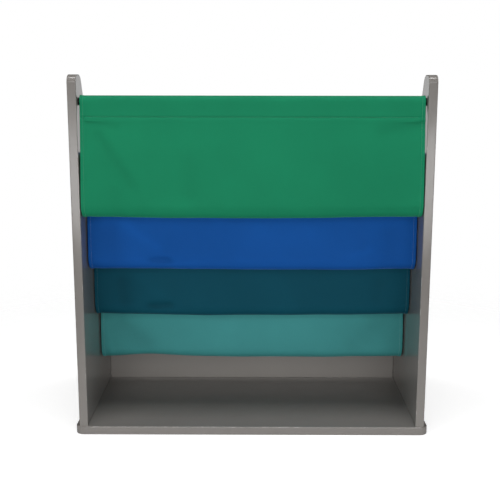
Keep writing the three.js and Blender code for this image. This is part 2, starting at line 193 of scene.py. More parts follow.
def floor_paper():
    """White paper that turns clear away from the shelf, by its distance from the origin."""
    material, tree, shader, place = new_material(
        "floor_paper", (0.93, 0.93, 0.93), 0.9,
        {"Specular IOR Level": 0.1, "Emission Color": white},
    )
    seen = add_node(tree, "ShaderNodeLightPath").outputs["Is Camera Ray"]
    far = add_node(tree, "ShaderNodeVectorMath", {0: place}, operation="LENGTH")
    fade = add_node(
        tree, "ShaderNodeMapRange",
        {"Value": far.outputs["Value"], "From Min": fade_start, "From Max": fade_end,
         "To Min": 1.0, "To Max": 0.0},
        interpolation_type="SMOOTHSTEP",
    )
    feed(shader, {
        "Emission Strength": calc(tree, "MULTIPLY_ADD", seen, paper_seen, paper_glow),
        "Alpha": fade.outputs["Result"],
    })
    return material


floor_mesh = bpy.data.meshes.new("floor")
floor_corners = np.array([[-1, -1], [1, -1], [1, 1], [-1, 1]]) * floor_half
floor_mesh.from_pydata(
    np.column_stack([floor_corners, np.full(4, -floor_drop)]), [], [(0, 1, 2, 3)],
)
floor_mesh.materials.append(floor_paper())
floor = bpy.data.objects.new("floor", floor_mesh)
scene.collection.objects.link(floor)
print("floor", 2 * floor_half, "m square")


# %% [markdown]
# ## Effects that several finishes share
# Lacquer, powder coat and moulded nylon all have a faint grain, so it is made once as a node
# group with named inputs and outputs. The same is true of dust, of rubbed edges, and of the
# weave of the four cloths. A group gives out only masks and heights. The shader that uses
# them stays in each material.

# %% Shared shader groups
def new_group(name, place, values, outputs):
    """An empty shader group. Place is its vector input, values are its number inputs with
    their defaults, and outputs are names. Gives the group, its inputs and its end node."""
    group = bpy.data.node_groups.new(name, "ShaderNodeTree")
    group.interface.new_socket(place, in_out="INPUT", socket_type="NodeSocketVector")
    number = "NodeSocketFloat"
    for label, value in values.items():
        socket = group.interface.new_socket(label, in_out="INPUT", socket_type=number)
        socket.default_value = value
    for label in outputs:
        group.interface.new_socket(label, in_out="OUTPUT", socket_type=number)
    start = group.nodes.new("NodeGroupInput").outputs
    return group, start, group.nodes.new("NodeGroupOutput")


def noise(tree, place, scale, detail, roughness=0.5):
    """A cloudy noise from zero to one."""
    return add_node(tree, "ShaderNodeTexNoise", {
        "Vector": place, "Scale": scale, "Detail": detail, "Roughness": roughness,
    }).outputs["Fac"]


def make_grain():
    """Fine bumps of a sprayed or moulded skin, and slow clouds of tone: two noises, one of
    them hundreds of times finer than the other."""
    group, start, end = new_group(
        "skin_grain", "Vector", {"Fine Scale": 1500.0, "Cloud Scale": 9.0}, ["Height", "Cloud"],
    )
    feed(end, {
        "Height": noise(group, start["Vector"], start["Fine Scale"], 2.0),
        "Cloud": noise(group, start["Vector"], start["Cloud Scale"], 3.0),
    })
    return group


def make_rub(threshold=0.78, softness=0.12):
    """Where an edge is rubbed: the edge mask times a patchy noise, cut by a threshold that
    falls with the amount of wear."""
    inputs = {"Edge": 0.0, "Amount": 0.4}
    group, start, end = new_group("rubbed_edge", "Vector", inputs, ["Mask"])
    patchy = noise(group, start["Vector"], 38.0, 5.0, 0.65)
    patch = calc(group, "SUBTRACT", patchy, calc(group, "SUBTRACT", threshold, start["Amount"]))
    sharp = add_node(
        group, "ShaderNodeMapRange",
        {"Value": patch, "From Min": 0.0, "From Max": softness, "To Min": 0.0, "To Max": 1.0},
    ).outputs["Result"]
    feed(end, {"Mask": calc(group, "MULTIPLY", start["Edge"], sharp)})
    return group


def make_dust(steepness=3.0):
    """A little dust on faces that look up: the upward part of the normal, raised to a power
    and broken up by a noise."""
    group, start, end = new_group("settled_dust", "Vector", {"Amount": 0.1}, ["Mask"])
    normal = add_node(group, "ShaderNodeNewGeometry").outputs["Normal"]
    height = add_node(group, "ShaderNodeSeparateXYZ", {"Vector": normal}).outputs["Z"]
    facing = calc(group, "POWER", calc(group, "MAXIMUM", height, 0.0), steepness)
    patchy = noise(group, start["Vector"], 55.0, 6.0, 0.7)
    spread = calc(group, "MULTIPLY", calc(group, "MULTIPLY", facing, patchy), start["Amount"])
    feed(end, {"Mask": spread})
    return group


def make_weave():
    """A plain weave on a flat map in metres. The map is cut into squares one yarn wide. On
    every second square the warp lies on top, on the others the weft. The height is a half
    sine across the yarn, times the mean of one and a half sine along it. The gap is one minus
    the height, so it is deepest between the yarns."""
    group, start, end = new_group("plain_weave", "Map", {"Yarn": 0.0006}, ["Height", "Gap"])
    parts = add_node(group, "ShaderNodeSeparateXYZ", {"Vector": start["Map"]}).outputs
    along = [calc(group, "DIVIDE", parts[axis], start["Yarn"]) for axis in ("X", "Y")]
    cell = [calc(group, "FLOOR", value) for value in along]
    wave = [
        calc(group, "SINE", calc(group, "MULTIPLY", calc(group, "FRACT", value), math.pi))
        for value in along
    ]
    over = calc(group, "FLOORED_MODULO", calc(group, "ADD", *cell), 2.0)
    under = calc(group, "SUBTRACT", 1.0, over)
    warp, weft = (
        calc(group, "MULTIPLY", calc(group, "MULTIPLY_ADD", other, 0.5, 0.5), own)
        for own, other in (wave, wave[::-1])
    )
    height = calc(
        group, "ADD", calc(group, "MULTIPLY", warp, over), calc(group, "MULTIPLY", weft, under),
    )
    feed(end, {"Height": height, "Gap": calc(group, "SUBTRACT", 1.0, height)})
    return group


grain_group, rub_group = make_grain(), make_rub()
dust_group, weave_group = make_dust(), make_weave()
print("groups", [group.name for group in bpy.data.node_groups])


# %% [markdown]
# ## Lacquer, powder coat and nylon
# The boards are fibreboard sprayed with a warm grey satin lacquer. Such a skin has a faint
# orange peel and slow clouds of tone, and it wears lighter along the rounded edges. The boards
# carry an "edge" attribute that is one on the roundings. Powder coat and moulded nylon are the
# same kind of skin with other values, so one function makes all three.

# %% Coated finishes
dust_tone, dust_dulling = (0.62, 0.60, 0.57), 0.5
gloss_swing = 0.14


def toned(colour, share):
    """A colour made darker or lighter by a share."""
    return [value * share for value in colour]


def effect(tree, group, **inputs):
    """Places a shader group in a material with its own values, and gives its outputs."""
    named = {key.replace("_", " "): value for key, value in inputs.items()}
    return add_node(tree, "ShaderNodeGroup", named, node_tree=group).outputs


def blend(tree, share, first, second):
    """Mixes two colours: first where share is 0 and second where it is 1."""
    colours = [c if isinstance(c, bpy.types.NodeSocket) else (*c, 1.0) for c in (first, second)]
    made = add_node(
        tree, "ShaderNodeMix", {0: share, 6: colours[0], 7: colours[1]}, data_type="RGBA",
    )
    return made.outputs[2]


def bump(tree, shader, height, depth, strength=1.0, under=None):
    """Turns a height into the shader's normal. Depth is the height's full swing in metres,
    and under is another bump's normal that lies below this one."""
    inputs = {"Height": height, "Distance": depth, "Strength": strength}
    if under is not None:
        inputs["Normal"] = under
    normal = add_node(tree, "ShaderNodeBump", inputs).outputs["Normal"]
    feed(shader, {"Normal": normal})
    return normal


def own_value(tree, name):
    """An attribute of the piece itself, such as "edge", one along its roundings."""
    return add_node(tree, "ShaderNodeAttribute", attribute_name=name).outputs["Fac"]


def coated(name, colour, roughness, fine, depth, worn, wear, cloud=0.08, dust=0.1, shine=0.5):
    """A sprayed or moulded skin: two close tones in slow clouds, a fine grain for a bump, a
    worn tone on the roundings and a little dust on top."""
    material, tree, shader, place = new_material(
        name, colour, roughness, {"Specular IOR Level": shine},
    )
    grain = effect(tree, grain_group, Vector=place, Fine_Scale=fine)
    tone = blend(tree, grain["Cloud"], toned(colour, 1 - cloud), toned(colour, 1 + cloud))
    edge = own_value(tree, "edge")
    rub = effect(tree, rub_group, Vector=place, Edge=edge, Amount=wear)["Mask"]
    fallen = effect(tree, dust_group, Vector=place, Amount=dust)["Mask"]
    gloss = calc(tree, "MULTIPLY_ADD", grain["Cloud"], gloss_swing, roughness - gloss_swing / 2)
    feed(shader, {
        "Base Color": blend(tree, fallen, blend(tree, rub, tone, worn), dust_tone),
        "Roughness": calc(tree, "MULTIPLY_ADD", fallen, dust_dulling, gloss),
    })
    bump(tree, shader, grain["Height"], depth)
    return material


board_paint = coated(
    "board_paint", colour=(0.248, 0.231, 0.216), roughness=0.16, fine=1400.0, depth=0.012 * mm,
    worn=(0.40, 0.38, 0.36), wear=0.26, cloud=0.05, dust=0.05,
)
tube_black = coated(
    "tube_black", colour=(0.006, 0.007, 0.008), roughness=0.45, fine=2600.0, depth=0.05 * mm,
    worn=(0.20, 0.20, 0.21), wear=0.4, shine=0.2, dust=0.02,
)
plug_nylon = coated(
    "plug_nylon", colour=(0.030, 0.031, 0.033), roughness=0.5, fine=2200.0, depth=0.04 * mm,
    worn=(0.10, 0.10, 0.11), wear=0.3,
)
print("coated", board_paint.name, tube_black.name, plug_nylon.name)


# %% [markdown]
# ## Zinc and beech
# The screws are zinc plated, bright with duller places. The dowels are beech: pale brown, with
# fine fibres and short dark flecks along the grain. A wood texture would give rings, but a
# dowel shows none, so both marks are noises that are drawn out along the dowel.

# %% Metal and wood
def plated_zinc():
    """Bright zinc plating with a fine grain, and a tone and a sheen that vary slowly."""
    material, tree, shader, place = new_material(
        "screw_zinc", (0.60, 0.61, 0.63), 0.32, {"Metallic": 1.0},
    )
    grain = effect(tree, grain_group, Vector=place, Fine_Scale=900.0, Cloud_Scale=260.0)
    feed(shader, {
        "Base Color": blend(tree, grain["Cloud"], (0.50, 0.51, 0.54), (0.70, 0.71, 0.72)),
        "Roughness": calc(tree, "MULTIPLY_ADD", grain["Cloud"], 0.3, 0.18),
    })
    bump(tree, shader, grain["Height"], 0.02 * mm)
    return material


def streaks(tree, place, axis, squeeze, scale, detail):
    """A noise drawn out along one axis, on which its places are squeezed together."""
    factors = [squeeze if direction == axis else 1.0 for direction in range(3)]
    drawn = add_node(tree, "ShaderNodeMapping", {"Vector": place, "Scale": factors})
    return noise(tree, drawn.outputs["Vector"], scale, detail)


def beech(name, axis, fleck_level=0.64, fleck_strength=0.5):
    """Beech with its grain along one axis: noise that is stretched forty times that way, and
    short dark flecks that are stretched ten times."""
    material, tree, shader, place = new_material(name, (0.60, 0.41, 0.24), 0.7)
    fibre = streaks(tree, place, axis, 1 / 40, 1400.0, 3.0)
    fleck = streaks(tree, place, axis, 1 / 10, 900.0, 3.0)
    tone = blend(tree, fibre, (0.47, 0.30, 0.16), (0.72, 0.52, 0.32))
    dark = calc(tree, "GREATER_THAN", fleck, fleck_level)
    dark = calc(tree, "MULTIPLY", dark, fleck_strength)
    feed(shader, {"Base Color": blend(tree, dark, tone, (0.33, 0.19, 0.10))})
    bump(tree, shader, fibre, 0.08 * mm)
    return material


screw_zinc = plated_zinc()
beech_sideways, beech_upright = beech("beech_sideways", 0), beech("beech_upright", 2)
print("finishes", [material.name for material in bpy.data.materials])


# %% [markdown]
# ## Tools for surfaces
# Each piece is a surface over a grid: every row is one line round or along it. The grid is
# worked out as whole arrays. Where a row has shrunk to a point, or where two sides meet, the
# doubled points are merged, so the piece is closed like the real one.

# %% Grids, rings and turned pieces
def grid_faces(rows, columns, close_rows=False, close_columns=False):
    """The squares of a grid whose points are numbered along each row: corners (i, j),
    (i, j + 1), (i + 1, j + 1) and (i + 1, j). If closed, the last line joins the first."""
    i = np.arange(rows if close_rows else rows - 1)[:, None]
    j = np.arange(columns if close_columns else columns - 1)[None, :]
    here, there = i * columns, (i + 1) % rows * columns
    left, right = j, (j + 1) % columns
    corners = [here + left, here + right, there + right, there + left]
    return np.stack(corners, axis=-1).reshape(-1, 4)


def join(shapes):
    """Several (points, faces) shapes as one: each shape's faces count on from the last."""
    starts = np.cumsum([0] + [len(points) for points, _ in shapes])
    faces = [(np.asarray(f) + start).tolist() for (_, f), start in zip(shapes, starts)]
    return np.concatenate([points for points, _ in shapes]), sum(faces, [])


def new_mesh(name, points, faces, values=None, flat=None, merge=0.001 * mm):
    """A closed mesh. Values are attributes by name, one number for each point, and flat is a
    map with one place for each point. Doubled points are merged, and the faces are turned
    outwards."""
    mesh = bpy.data.meshes.new(name)
    faces = faces.tolist() if isinstance(faces, np.ndarray) else faces
    mesh.from_pydata(points.tolist(), [], faces)
    for key, value in (values or {}).items():
        layer = mesh.attributes.new(key, "FLOAT", "POINT")
        layer.data.foreach_set("value", np.ascontiguousarray(value, np.float32))
    if flat is not None:
        corners = np.empty(len(mesh.loops), np.int32)
        mesh.loops.foreach_get("vertex_index", corners)
        layer = mesh.uv_layers.new(name="flat")
        layer.data.foreach_set("uv", flat[corners].astype(np.float32).ravel())
    work = bmesh.new()
    work.from_mesh(mesh)
    bmesh.ops.remove_doubles(work, verts=work.verts, dist=merge)
    bmesh.ops.recalc_face_normals(work, faces=work.faces)
    work.to_mesh(mesh)
    work.free()
    mesh.shade_smooth()
    return mesh


def add_piece(name, mesh, material, node=None, crease=32.0):
    """Puts a finished mesh in the scene, in place of its measured node if it has one. Edges
    sharper than the crease stay sharp."""
    mesh.materials.append(material)
    if crease is not None:
        mesh.set_sharp_from_angle(angle=math.radians(crease))
    piece = bpy.data.objects.new(name, mesh)
    scene.collection.objects.link(piece)
    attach(piece, "root")
    if node is not None:
        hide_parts(node)
    return piece


def turned_shape(profile, start, axis, sides_round=32, ring=False):
    """A turned piece from (radius, distance along the axis) pairs, with its faces. Its point
    at row i and angle a is
    start + along[i] * axis + radius[i] * (cos a * first + sin a * second),
    where first and second are at right angles to the axis. A radius may be one number or one
    for each angle. A ring has a hole through it, so its last row is joined to its first."""
    axis = np.asarray(axis, float)
    first = np.roll(axis, 1)
    second = np.cross(axis, first)
    angle = np.linspace(0, 2 * np.pi, sides_round, endpoint=False)
    spoke = np.cos(angle)[:, None] * first + np.sin(angle)[:, None] * second
    radius = np.stack([np.broadcast_to(radius, sides_round) for radius, _ in profile])
    along = np.array([distance for _, distance in profile], float)[:, None, None]
    points = np.asarray(start) + along * axis + radius[..., None] * spoke
    faces = grid_faces(len(profile), sides_round, close_rows=ring, close_columns=True)
    return points.reshape(-1, 3), faces


def box_of(node):
    """The lowest and the highest corner of a measured node."""
    return np.array(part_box(node))


def axis_of(node):
    """Depth and height of the middle of a node, for a tube the place of its axis."""
    return box_of(node).mean(axis=0)[1:]


tube_axes = {
    place: {tier: axis_of(f"{place}_tube_{tier}") for tier in tiers}
    for place in ("rear", "front")
}
rear_axes, front_axes = tube_axes.values()
print("rear axes", {tier: axis.round(4).tolist() for tier, axis in rear_axes.items()})


# %% [markdown]
# ## Boards
# A board is an outline with a thickness, and a quarter-round along every edge where the
# router went. A Bevel modifier could round a plain slab, but here the slab is laid up in
# rings. Each ring is the outline drawn inwards by a little, at its own height, so that the
# roundings carry an attribute for the wear. An extra ring just inside keeps the faces flat.

# %% Rounded outlines and boards
board_arris = 1.5 * mm
flat_margin = 1.5 * mm
arris_steps = 5


def rounded_outline(corners, radii, steps=12):
    """A polygon, anticlockwise, with arcs at its corners. Each edge's outward normal is its
    direction turned clockwise. An arc's centre is corner - r * (n0 + n1) / (1 + n0 . n1), and
    r counts as negative at an inner corner. Gives the points and their outward normals."""
    corners = np.asarray(corners, float)
    edge = np.roll(corners, -1, axis=0) - corners
    edge /= np.linalg.norm(edge, axis=1, keepdims=True)
    after = np.column_stack([edge[:, 1], -edge[:, 0]])
    before = np.roll(after, 1, axis=0)
    turn = before[:, 0] * after[:, 1] - before[:, 1] * after[:, 0]
    mitre = (before + after) / (1 + np.sum(before * after, axis=1, keepdims=True))
    points, normals = [], []
    for corner, radius, n0, n1, bend, pull in zip(corners, radii, before, after, turn, mitre):
        if radius == 0:
            points.append(corner[None])
            normals.append(pull[None])
            continue
        signed = math.copysign(radius, bend)
        start = math.atan2(n0[1], n0[0])
        sweep = math.atan2(n0[0] * n1[1] - n0[1] * n1[0], n0 @ n1)
        angle = start + np.linspace(0, sweep, steps + 1)
        normal = np.column_stack([np.cos(angle), np.sin(angle)])
        points.append(corner - signed * pull + signed * normal)
        normals.append(normal)
    return np.concatenate(points), np.concatenate(normals)


def board(name, outline, low, high, order):
    """A board from low to high, across an outline. Ring k is outline - inset[k] * normal at
    height level[k], and the quarter-round has inset r * (1 - cos a) and depth
    r * (1 - sin a). Order gives the axes of the outline's two directions and the thickness."""
    points, normals = outline
    turn = np.linspace(0, np.pi / 2, arris_steps + 1)
    inset = board_arris * (1 - np.cos(turn))
    depth = board_arris * (1 - np.sin(turn))
    inset = np.append(inset, board_arris + flat_margin)
    depth = np.append(depth, 0.0)
    insets = np.concatenate([inset[::-1], inset])
    levels = np.concatenate([low + depth[::-1], high - depth])
    wear = np.append(np.sin(2 * turn), 0.0)
    flat = points[None] - insets[:, None, None] * normals[None]
    level = np.broadcast_to(levels[:, None, None], (*flat.shape[:2], 1))
    stacked = np.concatenate([flat, level], axis=2).reshape(-1, 3)
    placed = np.empty_like(stacked)
    placed[:, list(order)] = stacked
    rows, columns = flat.shape[:2]
    faces = grid_faces(rows, columns, close_columns=True).tolist()
    faces += [list(range(columns)), list(range((rows - 1) * columns, rows * columns))]
    edge = np.repeat(np.concatenate([wear[::-1], wear]), columns)
    return new_mesh(name, placed, faces, {"edge": edge})


def cut(mesh, shapes):
    """Cuts closed shapes out of a mesh with a Boolean modifier, and applies it."""
    whole = bpy.data.objects.new("uncut", mesh)
    tool = bpy.data.objects.new("cutters", new_mesh("cutters", *join(shapes)))
    for made in (whole, tool):
        scene.collection.objects.link(made)
    modifier = whole.modifiers.new("holes", "BOOLEAN")
    modifier.object = tool
    modifier.operation = "DIFFERENCE"
    modifier.solver = "EXACT"
    drilled = bpy.data.meshes.new_from_object(
        whole.evaluated_get(bpy.context.evaluated_depsgraph_get()),
    )
    for made in (whole, tool):
        bpy.data.objects.remove(made)
    return drilled


print("board edges are rounded by", board_arris, "m")


# %% [markdown]
# ## Holes
# The joinery is real: blind sockets take the tubes' ends, a small hole goes on to the outer
# face for each tube's screw, and countersinks hold the screw heads just below the surface.
# Every hole is a turned shape, from the same sizes as the piece that goes into it.

# %% Holes for tubes, screws and dowels
fit_gap, overrun, head_sink = 0.3 * mm, 2.0 * mm, 0.4 * mm
tube_radius, socket_depth = 6.35 * mm, 9.0 * mm
dowel_radius, dowel_length = 4.0 * mm, 26.0 * mm
tube_sides, dowel_hole_sides = 48, 24
tube_screw = {
    "shank": 2.0 * mm, "head": 3.8 * mm, "height": 2.2 * mm, "length": 20.3 * mm,
    "pitch": 1.4 * mm,
}
board_screw = {
    "shank": 3.2 * mm, "head": 4.8 * mm, "height": 3.2 * mm, "length": 48.0 * mm,
    "pitch": 2.4 * mm,
}

base_low, base_high = box_of("base_plate")
lip_low, lip_high = box_of("front_lip")
panel_low, panel_high = box_of("side_panel_right")
inner_face, outer_face = panel_low[0], panel_high[0]


def countersink(size):
    """The profile of a screw's opening in a face: the mouth, the head's cone and the bore."""
    bore, wide = size["shank"] + fit_gap, size["head"] + fit_gap
    neck = head_sink + size["height"] + fit_gap
    return [(0, -overrun), (wide, -overrun), (wide, head_sink), (bore, neck)]


def screw_hole(size, start, axis):
    """The hole of a countersunk screw, which ends just past its tip."""
    bore, tip = size["shank"] + fit_gap, size["length"] + fit_gap
    return turned_shape([*countersink(size), (bore, tip), (0, tip)], start, axis)


def tube_socket(start, axis):
    """A tube's socket in a panel, with the screw's hole: from the outer face inwards."""
    bore, wide = tube_screw["shank"] + fit_gap, tube_radius + fit_gap
    thick = outer_face - inner_face
    socket_floor, past = thick - socket_depth, thick + overrun
    profile = [
        *countersink(tube_screw), (bore, socket_floor), (wide, socket_floor), (wide, past),
        (0, past),
    ]
    return turned_shape(profile, start, axis, tube_sides)


def dowel_hole(start, axis):
    """A dowel's hole, wider and longer than the dowel by the fitting gap."""
    wide, far = dowel_radius + fit_gap, dowel_length + fit_gap
    profile = [(0, -fit_gap), (wide, -fit_gap), (wide, far), (0, far)]
    return turned_shape(profile, start, axis, dowel_hole_sides)


def start_of(node, axis):
    """Where a straight piece starts: the middle of its box, at the end it points away from. A
    screw counts from the board's face, which lies above its sunk head."""
    low, high = box_of(node)
    start = (low + high) / 2
    along = int(np.argmax(np.abs(axis)))
    start[along] = low[along] if axis[along] > 0 else high[along]
    return start - head_sink * axis if "screw" in node else start


joinery = {}
for side in sides:
    for word, axis in (
        ("base_screw_1", up), ("base_screw_2", up), ("base_dowel", up),
        ("lip_screw", inward[side]), ("lip_dowel", inward[side]),
    ):
        joinery[f"{word}_{side}"] = (start_of(f"{word}_{side}", axis), axis)


def joinery_holes(*words):
    """The holes of all joinery whose node's name holds one of the words."""
    return [
        screw_hole(board_screw, *way) if "screw" in node else dowel_hole(*way)
        for node, way in joinery.items() if any(word in node for word in words)
    ]


print("holes for", len(joinery), "screws and dowels and", 4 * len(tiers), "tube ends")


# %% [markdown]
# ## The four boards
# The panels' outline has an upright rear edge, two rounded top corners, a front edge that
# slopes with the row of tubes, and a wide knee where it turns upright above the lip.

# %% Base plate, side panels and lip
base_corner_radius = 14 * mm
panel_rear_radius, panel_front_radius, panel_knee_radius = 14 * mm, 20 * mm, 60 * mm
slope_cover = 41.7 * mm
chip_radius, chip_half, chip_across = 1.5 * mm, 1.6 * mm, -0.212
chip_depth, chip_rise = 0.4 * mm, 0.9 * mm


def rectangle(low, high, radius):
    """The outline of a rectangle with rounded corners."""
    corners = [(low[0], low[1]), (high[0], low[1]), (high[0], high[1]), (low[0], high[1])]
    return rounded_outline(corners, [radius] * 4)


def add_board(node, outline, order, holes):
    """Makes the board of a node, drills it and puts it in the scene. Order says which axes
    the outline's two directions and the thickness are."""
    low, high = box_of(node)[:, order[2]]
    mesh = cut(board(f"{node}_board", outline, low, high, order), holes)
    add_piece(f"{node}_board", mesh, board_paint, node)
    print(node, "board has", len(mesh.polygons), "faces")


base_outline = rectangle(base_low[:2], base_high[:2], base_corner_radius)
add_board("base_plate", base_outline, (0, 1, 2), joinery_holes("base_screw", "base_dowel"))

tube_row = rear_axes[4] - rear_axes[1]
slope_along = -tube_row / np.linalg.norm(tube_row)
slope_out = np.array([slope_along[1], -slope_along[0]])
slope_reach = rear_axes[1] @ slope_out + slope_cover
knee_height = (slope_reach - panel_high[1] * slope_out[0]) / slope_out[1]
crest_depth = (slope_reach - panel_high[2] * slope_out[1]) / slope_out[0]
panel_corners = [
    (panel_low[1], panel_low[2]), (panel_high[1], panel_low[2]),
    (panel_high[1], knee_height), (crest_depth, panel_high[2]), (panel_low[1], panel_high[2]),
]
panel_radii = [0, 0, panel_knee_radius, panel_front_radius, panel_rear_radius]
panel_outline = rounded_outline(panel_corners, panel_radii, 16)

for side, sign in sides.items():
    sockets = [
        tube_socket((sign * outer_face, *axis), inward[side])
        for axes in tube_axes.values() for axis in axes.values()
    ]
    add_board(
        f"side_panel_{side}", panel_outline, (1, 2, 0), sockets + joinery_holes(side),
    )

lip_outline = rectangle(lip_low[[0, 2]], lip_high[[0, 2]], 0)
chip = turned_shape(
    [(0, -chip_half), (chip_radius, 0), (0, chip_half)],
    (chip_across, lip_low[1] + chip_depth, lip_low[2] + chip_rise), (1.0, 0.0, 0.0), 8,
)
add_board("front_lip", lip_outline, (0, 2, 1), joinery_holes("lip_") + [chip])


# %% [markdown]
# ## Tubes and their end plugs
# Half-inch steel tube, powder coated black, sawn to length and lightly filed at the ends. A
# ribbed nylon plug sits in each end, and its flange rests on the sawn edge. A tube is a ring
# profile turned round its axis: along the outside, over the rim, and back through the bore.

# %% Tubes and plugs
tube_wall = 1.0 * mm
tube_bore = tube_radius - tube_wall
tube_end = box_of("rear_tube_1")[1, 0]
rim_round, rim_steps = 0.3 * mm, 4
flange_thickness, plug_length = 1.6 * mm, 18.0 * mm


def quarter(across, along, turns):
    """A quarter turn of a rim, as (radius, along) pairs round a centre, that starts after a
    number of quarter turns: centre + rim_round * (cos a, sin a)."""
    angle = turns * np.pi / 2 + np.linspace(0, np.pi / 2, rim_steps + 1)
    turn = np.column_stack([np.cos(angle), np.sin(angle)])
    return np.array([across, along]) + rim_round * turn


def add_solid(node, stuff, shape, material, values=None):
    """Makes a piece from points and faces, named after its node and stuff, in place of the
    node."""
    name = f"{node}_{stuff}"
    mesh = new_mesh(name, *shape, values)
    add_piece(name, mesh, material, node)
    return mesh


outer_rim, inner_rim = tube_radius - rim_round, tube_bore + rim_round
rim_end = tube_end - rim_round
tube_profile = np.concatenate([
    quarter(outer_rim, rim_end, 0), quarter(inner_rim, rim_end, 1),
    quarter(inner_rim, -rim_end, 2), quarter(outer_rim, -rim_end, 3),
])
rim_wear = np.tile(np.sin(np.linspace(0, np.pi, rim_steps + 1)), 4)

plug_body = tube_bore - fit_gap
plug_bore = tube_screw["shank"] + fit_gap
rib_count, rib_step, rib_depth = 5, 3.2 * mm, 0.45 * mm
rib_first = flange_thickness + 0.8 * mm
rib_shape = np.array([(-rib_depth, 0.0), (0.0, 0.4 * mm), (-rib_depth, 2.2 * mm)])
rib_starts = np.column_stack([
    np.full(rib_count, plug_body), rib_first + rib_step * np.arange(rib_count),
])
plug_profile = np.concatenate([
    [(plug_bore, 0.0)],
    quarter(outer_rim, rim_round, -1), quarter(outer_rim, flange_thickness - rim_round, 0),
    [(plug_body - rib_depth, flange_thickness)],
    (rib_starts[:, None] + rib_shape).reshape(-1, 2),
    [(plug_body - 2 * rib_depth, plug_length), (plug_bore, plug_length)],
])

for place, axes in tube_axes.items():
    for tier, axis in axes.items():
        shape = turned_shape(
            tube_profile, (0.0, *axis), (1.0, 0.0, 0.0), tube_sides, ring=True,
        )
        tube_mesh = add_solid(
            f"{place}_tube_{tier}", "steel", shape, tube_black,
            {"edge": np.repeat(rim_wear, tube_sides)},
        )
        for side in sides:
            node = f"{place}_plug_{tier}_{side}"
            shape = turned_shape(
                plug_profile, start_of(node, inward[side]), inward[side], ring=True,
            )
            plug_mesh = add_solid(node, "nylon", shape, plug_nylon)
print("tube", len(tube_mesh.polygons), "faces, plug", len(plug_mesh.polygons))


# %% [markdown]
# ## Screws and dowels
# All screws are countersunk, with a hexagon recess, and their thread is a real one. On a
# turned grid the thread is only a change of radius: a ridge that moves on by one pitch in
# each turn. The hexagon's radius is its half width divided by the cosine of the angle to the
# middle of its nearest side. The dowels are fluted for the glue, with chamfered ends.

# %% Screws and dowels
drive_share, drive_depth_share = 0.42, 0.75
recess_floor, recess_mouth, crown = 0.97, 1.04, 0.15 * mm
root_share, tip_share, tip_rim, tip_flat = 0.78, 0.7, 0.9, 0.8
screw_sides, dowel_sides = 24, 40
flute_count, flute_depth = 10, 0.25 * mm
dowel_chamfer = 1.5 * mm


def screw_shape(size, start, axis):
    """A countersunk screw from the outer face inwards. Rows go from the middle of the recess
    to its wall, over the head, down the cone and along the thread to the blunt tip. The
    thread's radius is root + (shank - root) * |1 - 2 * frac(along / pitch - angle / turn)|."""
    shank, head, length, pitch = (size[key] for key in ("shank", "head", "length", "pitch"))
    angle = np.linspace(0, 2 * np.pi, screw_sides, endpoint=False)
    sector = np.pi / 3
    hexagon = head * drive_share / np.cos((angle + sector / 2) % sector - sector / 2)
    recess = head_sink + size["height"] * drive_depth_share
    neck = head_sink + size["height"]
    root = shank * root_share
    thread_start, tip_start = neck + 2 * pitch, length - shank
    along = np.arange(thread_start, tip_start, pitch / 6)
    wave = np.abs(1 - 2 * ((along[:, None] / pitch - angle / (2 * np.pi)) % 1.0))
    grow = np.clip((along - thread_start) / pitch, 0, 1)[:, None]
    ridge = shank - (shank - root) * (1 - wave) * grow
    rows = [
        (0, recess + crown), (recess_floor * hexagon, recess), (hexagon, recess - crown),
        (hexagon, head_sink + crown / 2), (recess_mouth * hexagon, head_sink),
        (head - crown, head_sink), (head, head_sink + crown / 2), (shank, neck),
        *zip(ridge, along),
        (root, tip_start + pitch / 6), (shank * tip_share * tip_rim, length - crown),
        (shank * tip_share * tip_flat, length), (0, length),
    ]
    return turned_shape(rows, start, axis, screw_sides)


def dowel_shape(start, axis):
    """A fluted dowel: the radius falls by the flutes' depth times a narrow wave round the
    axis, and the ends are chamfered at 45 degrees."""
    angle = np.linspace(0, 2 * np.pi, dowel_sides, endpoint=False)
    body = dowel_radius - flute_depth * (0.5 - 0.5 * np.cos(angle * flute_count)) ** 2
    end, far = dowel_radius - dowel_chamfer, dowel_length
    rows = [
        (0, 0.0), (end, 0.0), (body, dowel_chamfer), (body, far - dowel_chamfer), (end, far),
        (0, far),
    ]
    return turned_shape(rows, start, axis, dowel_sides)


for node, (start, axis) in joinery.items():
    if "dowel" in node:
        material = beech_upright if axis[2] > 0 else beech_sideways
        add_solid(node, "beech", dowel_shape(start, axis), material)
    else:
        low, high = box_of(node)
        size = {**board_screw, "length": float(np.max(high - low)) + head_sink}
        add_solid(node, "zinc", screw_shape(size, start, axis), screw_zinc)

for place, tier, side in itertools.product(tube_axes, tiers, sides):
    node = f"{place}_screw_{tier}_{side}"
    shape = screw_shape(tube_screw, start_of(node, inward[side]), inward[side])
    mesh = add_solid(node, "zinc", shape, screw_zinc)
print("a tube screw has", len(mesh.polygons), "faces")


# %% [markdown]
# ## Cloth
# The slings are a coated polyester in plain weave: smooth, a little shiny, each in one
# colour, with sewing thread of nearly the same colour that reads lighter because it stands
# proud. The weave follows the cloth's own flat map, in metres, so it bends with the sling.

# %% Cloth and thread finishes
yarn_width, cloth_roughness, lint_tone = 0.55 * mm, 0.55, (0.6, 0.6, 0.58)
slub_squeeze, slub_scale = 0.06, 1100.0
# The gaps' and the folds' strengths are painted shade; the slubs' and the clouds' are the
# cloth's own tone.
slub_strength, gap_shade_strength, cloud_share, fold_shade_share = 0.35, 0.30, 0.5, 0.55


